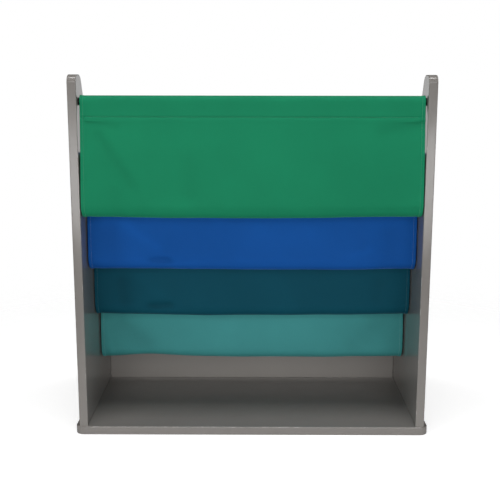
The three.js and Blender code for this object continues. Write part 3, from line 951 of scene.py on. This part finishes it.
def cloth(name, colour):
    """Coated plain weave. The weave gives the bump, and painted shade darkens the gaps between
    yarns.
    A slow noise fades the colour. Painted shade darkens the hollows of the folds and painted
    light lightens their ridges. Slubs are long thin noise along both yarns, and a sheen,
    strongest at grazing angles, stands for the loose fibres."""
    material, tree, shader, place = new_material(name, colour, cloth_roughness, {
        "Specular IOR Level": 0.06, "Sheen Weight": 0.3, "Sheen Roughness": 0.25,
        "Sheen Tint": (*[min(1.0, value * 2 + 0.3) for value in colour], 1.0),
    })
    flat = add_node(tree, "ShaderNodeUVMap", uv_map="flat").outputs["UV"]
    weave = effect(tree, weave_group, Map=flat, Yarn=yarn_width)
    fade = effect(tree, grain_group, Vector=place, Fine_Scale=420.0, Cloud_Scale=14.0)
    slubs = [streaks(tree, flat, axis, slub_squeeze, slub_scale, 2.0) for axis in (0, 1)]
    slub = calc(tree, "MULTIPLY", calc(tree, "MULTIPLY", *slubs), slub_strength)
    # Painted shade in the gaps between the yarns of the weave.
    gap_shade = calc(tree, "MULTIPLY", weave["Gap"], gap_shade_strength)
    share = calc(tree, "MULTIPLY_ADD", fade["Cloud"], cloud_share, (1 - cloud_share) / 2)
    # Painted shade and light: the folds' hollows darken the colour and their ridges lighten it.
    share = calc(tree, "MULTIPLY_ADD", own_value(tree, "fold_relief_and_shade"), fold_shade_share, share)
    tone = blend(tree, share, toned(colour, 0.8), toned(colour, 1.2))
    tone = blend(tree, gap_shade, tone, toned(colour, 0.55))
    tone = blend(tree, slub, tone, toned(colour, 1.25))
    dust = effect(tree, dust_group, Vector=place, Amount=0.06)["Mask"]
    feed(shader, {
        "Base Color": blend(tree, dust, tone, lint_tone),
        "Roughness": calc(tree, "MULTIPLY_ADD", weave["Gap"], 0.2, cloth_roughness),
    })
    under = bump(tree, shader, fade["Height"], 0.06 * mm, 0.5)
    bump(tree, shader, weave["Height"], 0.10 * mm, 0.7, under)
    return material


def thread(name, colour):
    """Sewing thread: the cloth's colour, paler, with the bump of its twist."""
    material, tree, shader, place = new_material(name, colour, 0.45, {"Sheen Weight": 0.3})
    twist = effect(tree, grain_group, Vector=place, Fine_Scale=3000.0, Cloud_Scale=200.0)
    tone = blend(tree, twist["Cloud"], toned(colour, 0.85), toned(colour, 1.15))
    feed(shader, {"Base Color": tone})
    bump(tree, shader, twist["Height"], 0.05 * mm)
    return material


print("a yarn is", yarn_width, "m wide")


# %% [markdown]
# ## The hanging line of a sling
# Each sling is one strip of cloth. Its end goes up inside the pocket, over the rear tube,
# down the outside into the belly, round the bottom, up to the front tube, over it and down
# again inside. The front tube lies just behind the next tier's rear tube. A cloth simulation
# could hang the strip, but its line is known from the tubes and from the photograph, so the
# line is drawn and the folds are added.

# %% The line of one sling
stitch_drop, tail_length = 25.0 * mm, 8.0 * mm
hem_drop = stitch_drop + tail_length
cloth_half, hem_half, measured_half = 0.5 * mm, 0.84 * mm, 0.7 * mm
layer_gap, nest_gap = 0.1 * mm, 1.0 * mm
sleeve_middle = tube_radius + fit_gap + measured_half
belly_reach, pocket_drop = 11.7 * mm, 94.8 * mm
wall_top_share, wall_belly_share, rise_share = 0.25, 0.45, 0.4

tier_step, tier_fall = rear_axes[2] - rear_axes[1]
tier_drop = -tier_fall
reach, dip = front_axes[1] - rear_axes[1]


def cubic(a, b, c, d, count=240):
    """A cubic curve from a to d with handles b and c, without its last point:
    (1-t)^3 a + 3 (1-t)^2 t b + 3 (1-t) t^2 c + t^3 d."""
    t = np.linspace(0, 1, count, endpoint=False)[:, None]
    a, b, c, d = (np.asarray(point, float) for point in (a, b, c, d))
    return (1 - t) ** 3 * a + 3 * (1 - t) ** 2 * t * b + 3 * (1 - t) * t ** 2 * c + t ** 3 * d


def round_arc(centre, radius, start, end, count=120):
    """Points on a circle from one angle to another, without the last."""
    angle = np.linspace(start, end, count, endpoint=False)
    return np.asarray(centre) + radius * np.column_stack([np.cos(angle), np.sin(angle)])


def lengths_along(line):
    """The distance along a line of points, from its first point to each."""
    return np.append(0.0, np.cumsum(np.linalg.norm(np.diff(line, axis=0), axis=1)))


def along_line(known, line, lengths):
    """Each column of a line's points, read at the given distances along it."""
    return np.column_stack([np.interp(lengths, known, column) for column in line.T])


def wall_line(extra_drop):
    """The cloth's middle from the rear tube to the front tube, in depth and height from the
    rear axis: a cubic into the belly, half a circle round the bottom, and a cubic up to the
    front side of the front tube."""
    bottom = (tier_step - 2 * measured_half - nest_gap) / 2
    belly = -(sleeve_middle + belly_reach)
    centre = -(tier_drop + pocket_drop + extra_drop) + measured_half + bottom
    far = belly + 2 * bottom
    meet = np.array([reach + sleeve_middle, dip])
    rise = dip - centre
    return np.concatenate([
        cubic((-sleeve_middle, 0), (-sleeve_middle, centre * wall_top_share),
              (belly, centre * (1 - wall_belly_share)), (belly, centre)),
        round_arc((belly + bottom, centre), bottom, np.pi, 2 * np.pi),
        cubic((far, centre), (far, centre + rise * rise_share),
              (meet[0], dip - rise * rise_share), meet),
        meet[None],
    ])


def line_at(line, lengths):
    """Points and unit tangents of a line at the given distances along it."""
    known = lengths_along(line)
    way = along_line(known, np.gradient(line, known, axis=0), lengths)
    return along_line(known, line, lengths), way / np.linalg.norm(way, axis=1, keepdims=True)


def touch_angle(centre, radius, point, turn):
    """The angle at which a line from a point touches a circle, on one side of it."""
    offset = np.subtract(point, centre)
    return math.atan2(offset[1], offset[0]) + turn * math.acos(radius / np.hypot(*offset))


def sheet_line(extra_drop):
    """The whole strip: tail, sleeve, wall, sleeve and tail. A tail lies inside the wall by
    the cloth's thickness. Gives the line, and the distances along it of the four places
    where a tail is sewn or the wall starts and ends."""
    wall = wall_line(extra_drop)
    total = lengths_along(wall)[-1]
    inside = 2 * cloth_half + layer_gap

    def tail(lengths):
        """The wall's line there, moved inside along its normal."""
        at, way = line_at(wall, lengths)
        return at + inside * np.column_stack([-way[:, 1], way[:, 0]])

    rear_tail = tail(np.linspace(hem_drop, stitch_drop, 30))
    front_tail = tail(total - np.linspace(stitch_drop, hem_drop, 30))
    front_axis = (reach, dip)
    rear_touch = touch_angle((0, 0), sleeve_middle, rear_tail[-1], 1) % (2 * np.pi) - 2 * np.pi
    front_touch = touch_angle(front_axis, sleeve_middle, front_tail[0], -1) % (2 * np.pi)
    rear_sleeve = round_arc((0, 0), sleeve_middle, rear_touch, np.pi)
    front_sleeve = round_arc(front_axis, sleeve_middle, 0, front_touch)
    parts = [rear_tail, rear_sleeve, wall, front_sleeve[1:], front_tail]
    line = np.concatenate(parts)
    known = lengths_along(line)
    ends = np.cumsum([len(part) for part in parts]) - 1
    marks = {
        "rear_sewn": known[ends[0]], "wall_start": known[ends[1] + 1],
        "wall_end": known[ends[2]], "front_sewn": known[ends[3] + 1], "end": known[-1],
    }
    return line, marks


def smoothed(line, step=0.4 * mm, width=1.2 * mm):
    """The line at an even step, with its points averaged by a bell curve of that width."""
    known = lengths_along(line)
    even = np.linspace(0, known[-1], int(known[-1] / step) + 1)
    points = along_line(known, line, even)
    spread = int(3 * width / step)
    weights = np.exp(-0.5 * (np.arange(-spread, spread + 1) * step / width) ** 2)
    weights /= weights.sum()
    head = 2 * points[0] - points[spread:0:-1]
    foot = 2 * points[-1] - points[-2:-spread - 2:-1]
    padded = np.concatenate([head, points, foot])
    return even, np.column_stack([
        np.convolve(column, weights, mode="valid") for column in padded.T
    ])


print("a sling's line is", round(sheet_line(0.0)[1]["end"], 4), "m long")


# %% [markdown]
# ## What the photograph shows of each sling
# No sling hangs like its neighbour. Each has its colours, a gap beside the panels, a pocket
# that may be deeper, and a bottom that sags, tilts, rises or is lifted at one place. Hang is
# how far its side edges flare, in millimetres: left top, left foot, right top, right foot. A
# fold is a segment in millimetres: place across and drop below the tube for each end, then
# its width and its height. A negative height is a valley. All were placed one by one.

# %% Facts of the slings
# A fold's height also sets the painted shade in its hollow and the painted light on its ridge.
sling_facts = {
    "green": {
        "tier": 1, "side_gap": 2.0 * mm, "extra": 0.0, "sag": 2.5 * mm, "seed": 3,
        "cloth": (0.0130, 0.263, 0.125), "thread": (0.06, 0.31, 0.18),
        "hang": (-0.9, 1.0, 0.0, 0.6), "tilt": 0.8 * mm, "rise": 0.0,
        "folds": [
            (-256, 58, -200, 138, 12, -1.7), (-236, 62, -176, 150, 10, 0.9),
            (-226, 150, -228, 185, 12, -1.2), (-272, 34, -228, 42, 8, -1.2),
            (-107, 95, -107, 150, 14, -1.2), (-170, 172, -100, 176, 12, 0.9),
            (160, 120, 240, 150, 40, -1.2), (215, 50, 280, 36, 12, -1.6),
            (268, 27, 284, 26, 1.3, 0.5), (270, 33, 284, 32, 1.3, 0.5),
        ],
    },
    "blue": {
        "tier": 2, "side_gap": 2.0 * mm, "extra": 4.0 * mm, "sag": 1.8 * mm, "seed": 5,
        "cloth": (0.0084, 0.0975, 0.398), "thread": (0.12, 0.22, 0.48),
        "hang": (0.4, 0.4, 0.8, 0.8), "tilt": -0.5 * mm, "rise": 1.8 * mm,
        "folds": [
            (-246, 130, -240, 175, 22, -2.6), (-221, 112, -168, 150, 10, 2.4),
            (-172, 178, -148, 178, 7, -5), (0, 128, 100, 130, 28, 1.6),
            (246, 128, 240, 175, 24, -2.6), (176, 168, 204, 156, 8, 1.8),
        ],
    },
    "teal": {
        "tier": 3, "side_gap": 1.2 * mm, "extra": 0.0, "sag": 3.0 * mm, "seed": 8,
        "cloth": (0.0052, 0.075, 0.113), "thread": (0.05, 0.16, 0.20),
        "hang": (0.0, 0.0, 0.0, 0.0), "tilt": 0.4 * mm, "rise": 0.3 * mm,
        "folds": [
            (-236, 128, -232, 162, 15, -3.6), (-186, 173, -150, 171, 7, -5),
            (-200, 120, -170, 150, 10, 1.4), (40, 125, 60, 170, 30, 1.2),
            (230, 128, 228, 156, 14, -1.6),
        ],
    },
    "aqua": {
        "tier": 4, "side_gap": 2.2 * mm, "extra": 0.0, "sag": 1.0 * mm, "seed": 13,
        "lift": 4.0 * mm,
        "cloth": (0.062, 0.308, 0.308), "thread": (0.17, 0.42, 0.41),
        "hang": (0.0, 0.4, 0.0, 0.4), "tilt": 0.0, "rise": 0.6 * mm,
        "folds": [
            (-246, 124, -200, 166, 19, -2.7), (236, 126, 196, 162, 22, -2.2),
            (-60, 140, 100, 140, 36, 1.4), (-278, 120, -268, 178, 6, 0.8),
        ],
    },
}
print("folds", {colour: len(facts["folds"]) for colour, facts in sling_facts.items()})


# %% [markdown]
# ## A grid over the cloth
# A grid of the same step everywhere would need a great many points, or would miss the rims
# and the seams. So the grid is fine there and coarse on the open cloth. Rims, folds and
# ripples are smooth curves of the distance to a line on the cloth.

# %% Grid and smooth curves
hem_width, hem_stitch, rim_width = 7.0 * mm, 5.5 * mm, 0.9 * mm
strip_steps = mm * np.array([0.22, 1.5, 1.9, 0.8, 3.4, 0.8, 1.9, 1.5, 0.22])
across_steps = mm * np.array([0.22, 0.8, 0.35, 0.4, 3, 7])


def spaced(marks, steps):
    """Numbers that run from mark to mark, evenly within each stretch, at about its step."""
    runs = [
        np.linspace(a, b, max(1, int(round((b - a) / step))), endpoint=False)
        for a, b, step in zip(marks[:-1], marks[1:], steps)
    ]
    return np.append(np.concatenate(runs), marks[-1])


def rim(distance, width):
    """A half-round edge: zero at the rim and one from the given distance on."""
    near = np.clip(1 - distance / width, 0, 1)
    return np.sqrt(1 - near ** 2)


def bell(distance, width):
    """A smooth bump of height one: e to the power of minus (distance / width) squared."""
    return np.exp(-(distance / width) ** 2)


def fold(x, drop, x0, drop0, x1, drop1, width, height):
    """A soft fold along a straight segment: its height times a bell curve of the distance to
    the nearest point of the segment. All are in metres, and a negative height is a valley."""
    way_x, way_drop = x1 - x0, drop1 - drop0
    reached = ((x - x0) * way_x + (drop - drop0) * way_drop) / (way_x ** 2 + way_drop ** 2)
    reached = np.clip(reached, 0, 1)
    off = np.hypot(x - x0 - reached * way_x, drop - drop0 - reached * way_drop)
    return height * bell(off, width)


def pucker(distance, height, length, swing, drift):
    """Ripples along a seam: a sine of the distance over the length, whose phase sways."""
    return height * np.sin(2 * np.pi * distance / length + swing * np.sin(distance / drift))


def cloth_grid(sewn, seams, end, half_width):
    """Distances along the strip and places across it, closer at rims, seams and hems."""
    s = spaced(
        [0, rim_width, sewn[0] + 2 * mm, seams[0] - 3 * mm, seams[0] + 11 * mm,
         seams[1] - 11 * mm, seams[1] + 3 * mm, sewn[1] - 2 * mm, end - rim_width, end],
        strip_steps,
    )
    inner = spaced(
        [0, rim_width, hem_stitch - 0.7 * mm, hem_stitch + 0.7 * mm, hem_width + 0.8 * mm,
         40 * mm, half_width],
        across_steps,
    )
    return s, np.concatenate([inner - half_width, (half_width - inner)[-2::-1]])


print("side hems are", hem_width, "m wide and are stitched", hem_stitch, "m from the edge")


# %% [markdown]
# ## How the cloth hangs and folds
# The drawn line is the same all the way across, but cloth isn't. Its corners curl, its bottom
# sags, and its hems droop. Over that lie slow waves with seeded phases, the folds from the
# photograph, and what sewing does: a valley below each seam, a ridge along each hem and at
# the end of each tail, and a pucker, which is a sine whose phase sways.

# %% Hanging and folds
curl_width, curl_rise = 24.0 * mm, 1.4 * mm
hem_droop, droop_place, droop_width = 1.0 * mm, 3 * mm, 4 * mm
lift_place, lift_width = -0.193, 0.057
# A slow wave is half waves across, slant and height in millimetres. A pucker is height, length
# of a ripple, swing and drift.
slow_waves = ((1.5, 0.6, 0.45), (2.5, -1.1, 0.35), (4.0, 1.7, 0.22), (7.0, -2.3, 0.1))
fold_fade, slant_turn, pucker_width = 8 * mm, 3, 5 * mm
seam_pucker = (0.12 * mm, 9 * mm, 2, 31 * mm)
hem_pucker = (0.10 * mm, 8 * mm, 1.5, 27 * mm)
tail_ridge, seam_valley, seam_below, seam_width = 0.14 * mm, 0.8 * mm, 1.0 * mm, 1.8 * mm
ridge_height, ridge_place, ridge_width = 0.35 * mm, 2.0 * mm, 1.8 * mm


def hung(place, x, half_width, facts):
    """The cloth's middle before its folds. The line's heights are raised by the curl, less
    the sag, in step with the square of how far down the pocket they lie, and the side edges
    flare out or in by what is seen at the top and at the foot."""
    share, to_edge = x / half_width, half_width - np.abs(x)
    below = np.clip((-place[:, 1:] - tier_drop) / (pocket_drop + facts["extra"]), 0, 1)
    curl = np.clip(1 - to_edge / curl_width, 0, 1) ** 2
    lift = facts.get("lift", 0.0) * bell(x - lift_place, lift_width)
    rise = curl_rise * curl + lift - facts["sag"] * (1 - share ** 2)
    droop = hem_droop * bell(to_edge - droop_place, droop_width)
    rise += facts["rise"] + facts["tilt"] * share - droop
    left, right = np.reshape(facts["hang"], (2, 2, 1)) * mm
    at_top, at_foot = np.where(x < 0, left, right)
    flare = np.sign(x) * curl * (at_top + (at_foot - at_top) * below)
    depth = np.broadcast_to(place[:, :1], flare.shape)
    return np.stack([x + flare, depth, place[:, 1:] + rise * below ** 2], axis=2)


def folded(place, s, x, half_width, seams, facts):
    """Heights over the middle: slow waves with seeded phases, the named folds on the outside
    of the pocket, and the marks of the sewing. The folds' own height comes with them, and the
    cloth paints shade in their hollows and light on their ridges from it."""
    share, to_edge = x / half_width, half_width - np.abs(x)
    wall_share = np.clip((s - seams[0]) / (seams[1] - seams[0]), 0, 1)
    free = np.sin(np.pi * wall_share) ** 2
    draw = np.random.default_rng(facts["seed"])
    wave = np.zeros((len(s), len(x)))
    for count, slant, size in slow_waves:
        phase = draw.uniform(0, 2 * np.pi)
        slanted = np.pi * count * share + slant * slant_turn * wall_share[:, None]
        wave += size * mm * np.sin(slanted + phase)
    wave *= free[:, None]
    bottom = s[np.argmin(place[:, 1])]
    fold_relief_and_shade = np.clip((bottom - s) / fold_fade, 0, 1)[:, None] * sum(
        fold(x, -place[:, 1:], *(mm * value for value in numbers)) for numbers in facts["folds"]
    )
    wave += fold_relief_and_shade
    for seam, tail_end in zip(seams, (seams[0] + tail_length, seams[1] - tail_length)):
        wave += tail_ridge * bell(s - tail_end, seam_width)[:, None]
        wave -= seam_valley * bell(s - seam - seam_below, seam_width)[:, None]
    seam_near = sum(bell(s - seam, pucker_width) for seam in seams)
    wave += np.outer(seam_near, pucker(x, *seam_pucker))
    hem_near = bell(to_edge - hem_width, pucker_width)
    wave += np.outer(pucker(s, *hem_pucker) * free, hem_near)
    return wave + ridge_height * bell(to_edge - ridge_place, ridge_width), fold_relief_and_shade


print("slow waves reach", round(sum(size for *_, size in slow_waves), 2), "mm")


# %% [markdown]
# ## A sling as a closed shell
# The cloth's thickness changes: thin in the middle, nearly double in the side hems, thicker
# over a tube, and pinched along each row of stitches. A single sheet with a solidify modifier
# would have one thickness everywhere. So two grids lie half a thickness to either side of the
# middle, and they meet at the rims, where the thickness runs out in a half round.

# %% Thickness and shell
hem_pinch, seam_pinch, pinch_width = 0.3 * mm, 0.2 * mm, 0.7 * mm
crest_thick, crest_start = 1.1 * mm, 0.2
end_rim, tail_fade, full_fold = 0.7 * mm, 5 * mm, 4 * mm


def flat_half(s, to_edge, stitched):
    """Half the thickness: more in the hems, and pinched along each row of stitches."""
    hem_edge = [hem_width - 0.3 * mm, hem_width + 0.5 * mm]
    half = np.interp(to_edge, hem_edge, [hem_half, cloth_half])
    half = half - hem_pinch * bell(to_edge - hem_stitch, pinch_width)
    groove = sum(bell(s - at, pinch_width) for at in stitched)
    return half[None] - seam_pinch * np.clip(groove, 0, 1)[:, None]


def rim_share(distance, end):
    """One up to the end of a tail, and down to zero over the next few millimetres."""
    return np.clip(1 - (distance - end) / tail_fade, 0, 1)


def outward_of(middle, s, x):
    """The unit normals of a grid of points: the cross product of its two directions."""
    outward = np.cross(np.gradient(middle, s, axis=0), np.gradient(middle, x, axis=1))
    return outward / np.linalg.norm(outward, axis=2, keepdims=True)


def sling_surface(facts):
    """Middle points, outward normals and half thicknesses of a sling on a grid of distance
    along the strip by place across it, with the distances and the places themselves, the
    height of the folds, the seams' distances and the strip's length."""
    line, marks = sheet_line(facts["extra"])
    even, soft = smoothed(line)
    end, half_width = even[-1], inner_face - facts["side_gap"]
    sewn = [marks["rear_sewn"], marks["front_sewn"]]
    seams = [marks["wall_start"] + stitch_drop, marks["wall_end"] - stitch_drop]
    s, x = cloth_grid(sewn, seams, end, half_width)
    to_edge = half_width - np.abs(x)
    place = along_line(even, soft, s)
    middle = hung(place, x, half_width, facts)
    wave, fold_relief_and_shade = folded(place, s, x, half_width, seams, facts)

    over_tube = place[:, 1:] - sleeve_middle * crest_start
    over_tube = np.clip(over_tube / (sleeve_middle * (1 - crest_start)), 0, 1)
    crest = crest_thick * over_tube ** 2
    half = flat_half(s, to_edge, [*seams, *sewn]) + crest
    in_tail = np.maximum(rim_share(s, sewn[0]), rim_share(end - s, end - sewn[1]))
    tail_gap = np.outer(in_tail, 2 * (half[0] - cloth_half))
    half = half * rim(to_edge, rim_width) * rim(np.minimum(s, end - s), end_rim)[:, None]
    middle = middle + (wave + crest - tail_gap)[..., None] * outward_of(middle, s, x)
    outward = outward_of(middle, s, x)
    origin = np.array([0.0, *rear_axes[facts["tier"]]])
    return middle + origin, outward, half, s, x, fold_relief_and_shade, seams, marks["end"]


def sling_mesh(name, surface):
    """The closed shell: middle + half * outward and middle - half * outward, joined where they
    meet. Each face's flat map is its place across and its distance along the strip. An
    attribute holds the folds' height over the height that counts as a full fold, and the cloth
    paints shade in their hollows and light on their ridges from it."""
    middle, outward, half, s, x, fold_relief_and_shade = surface[:6]
    out = half[..., None] * outward
    points = np.concatenate([(middle + out).reshape(-1, 3), (middle - out).reshape(-1, 3)])
    faces = grid_faces(*half.shape)
    faces = np.concatenate([faces, faces[:, ::-1] + half.size])
    flat = np.stack(np.meshgrid(x, s), axis=2).reshape(-1, 2)
    # The folds' height, kept for the painted shade and light of the cloth.
    values = {"fold_relief_and_shade": np.tile((fold_relief_and_shade / full_fold).ravel(), 2)}
    return new_mesh(name, points, faces, values, np.tile(flat, (2, 1)), merge=0.002 * mm)


print("cloth is", 2 * cloth_half, "m thick and", round(2 * hem_half, 5), "m in the hems")


# %% [markdown]
# ## Stitches
# A row of stitches is a few hundred short lengths of thread that dive into the cloth at both
# ends. One stitch is a small bent bead of a few dozen faces, and it is copied to each place
# with the cloth's own directions: along the seam, across it and out of the cloth.

# %% Sewing
stitch_pitch, stitch_length = 2.5 * mm, 1.9 * mm
thread_radius, stitch_dip, stitch_lift = 0.24 * mm, 0.16 * mm, 0.05 * mm
bead_rows, bead_sides = 7, 6
seam_margin = 4 * mm


def stitch_bead():
    """One stitch along its first axis: a bead of six sides whose radius follows a half round,
    bent so that its ends lie lower. Along u from -1 to 1 its middle is at
    (u * length / 2, 0, -dip * u * u) and its radius is the thread's times sqrt(1 - u^4)."""
    u = np.linspace(-1, 1, bead_rows)[:, None]
    angle = np.linspace(0, 2 * np.pi, bead_sides, endpoint=False)
    radius = thread_radius * np.sqrt(np.clip(1 - u ** 4, 0, 1))
    points = np.stack([
        np.broadcast_to(u * stitch_length / 2, (bead_rows, bead_sides)),
        radius * np.cos(angle), radius * np.sin(angle) - stitch_dip * u ** 2,
    ], axis=2).reshape(-1, 3)
    return points, grid_faces(bead_rows, bead_sides, close_columns=True)


def at_grid(values, rows, columns):
    """Values of a grid at fractional rows and columns, by the four nearest points."""
    i = np.clip(np.floor(rows).astype(int), 0, values.shape[0] - 2)
    j = np.clip(np.floor(columns).astype(int), 0, values.shape[1] - 2)
    a, b = (rows - i)[:, None], (columns - j)[:, None]
    values = values.reshape(*values.shape[:2], -1)
    top = values[i, j] * (1 - b) + values[i, j + 1] * b
    foot = values[i + 1, j] * (1 - b) + values[i + 1, j + 1] * b
    return top * (1 - a) + foot * a


def seam_places(half_width, length, seams):
    """Where stitches go, as (distance along, place across, is the seam along the strip). Two
    rows cross the strip where the sleeves are sewn, and two run along the side hems."""
    edge = half_width - hem_stitch
    count = int(2 * (edge - seam_margin) / stitch_pitch)
    cross_x = (np.arange(count) - (count - 1) / 2) * stitch_pitch
    hem_s = np.arange(seam_margin, length - seam_margin, stitch_pitch)
    rows = [(at, cross_x, 0.0) for at in seams]
    rows += [(hem_s, sign * edge, 1.0) for sign in (-1, 1)]
    return np.concatenate([np.column_stack(np.broadcast_arrays(*row)) for row in rows])


def stitches_mesh(name, surface):
    """All stitches of a sling as one mesh, on the outer and on the inner face. A bead's point
    (a, b, c) goes to place + a * along + b * across + c * out."""
    middle, outward, half, s, x, _, seams, length = surface
    places = seam_places(x[-1], length, seams)
    rows = np.interp(places[:, 0], s, np.arange(len(s)))
    columns = np.interp(places[:, 1], x, np.arange(len(x)))
    down, over = np.gradient(middle, s, axis=0), np.gradient(middle, x, axis=1)
    centre, out, thick, down, over = (
        at_grid(values, rows, columns) for values in (middle, outward, half, down, over)
    )
    along = np.where(places[:, 2:] > 0.5, down, over)
    out /= np.linalg.norm(out, axis=1, keepdims=True)
    along -= out * np.sum(along * out, axis=1, keepdims=True)
    along /= np.linalg.norm(along, axis=1, keepdims=True)
    bead, bead_faces = stitch_bead()
    points = []
    for facing in (out, -out):
        ways = np.stack([along, np.cross(facing, along), facing], axis=1)
        seat = centre + facing * (thick + stitch_lift)
        points.append(seat[:, None] + bead @ ways)
    points = np.concatenate(points)
    starts = np.arange(len(points))[:, None, None] * len(bead)
    return new_mesh(name, points.reshape(-1, 3), (bead_faces + starts).reshape(-1, 4))


print("a stitch has", len(stitch_bead()[1]), "faces")


# %% [markdown]
# ## The four slings
# Each sling is made from its facts, with its own cloth and thread. It hangs from its two
# tubes, and it was cut wider than it is now, by the hem that is turned in at each side.

# %% Make the four slings
for colour, facts in sling_facts.items():
    tier, node, slot = facts["tier"], f"{colour}_sling", f"{colour}_cloth"
    surface = sling_surface(facts)
    cloth_mesh = sling_mesh(f"{node}_cloth", surface)
    finish = cloth(f"{colour}_cloth", facts["cloth"])
    sling = add_piece(f"{node}_cloth", cloth_mesh, finish, node, crease=60.0)
    sewing_mesh = stitches_mesh(f"{node}_stitches", surface)
    finish = thread(f"{colour}_thread", facts["thread"])
    sewing = add_piece(f"{node}_stitches", sewing_mesh, finish, crease=None)
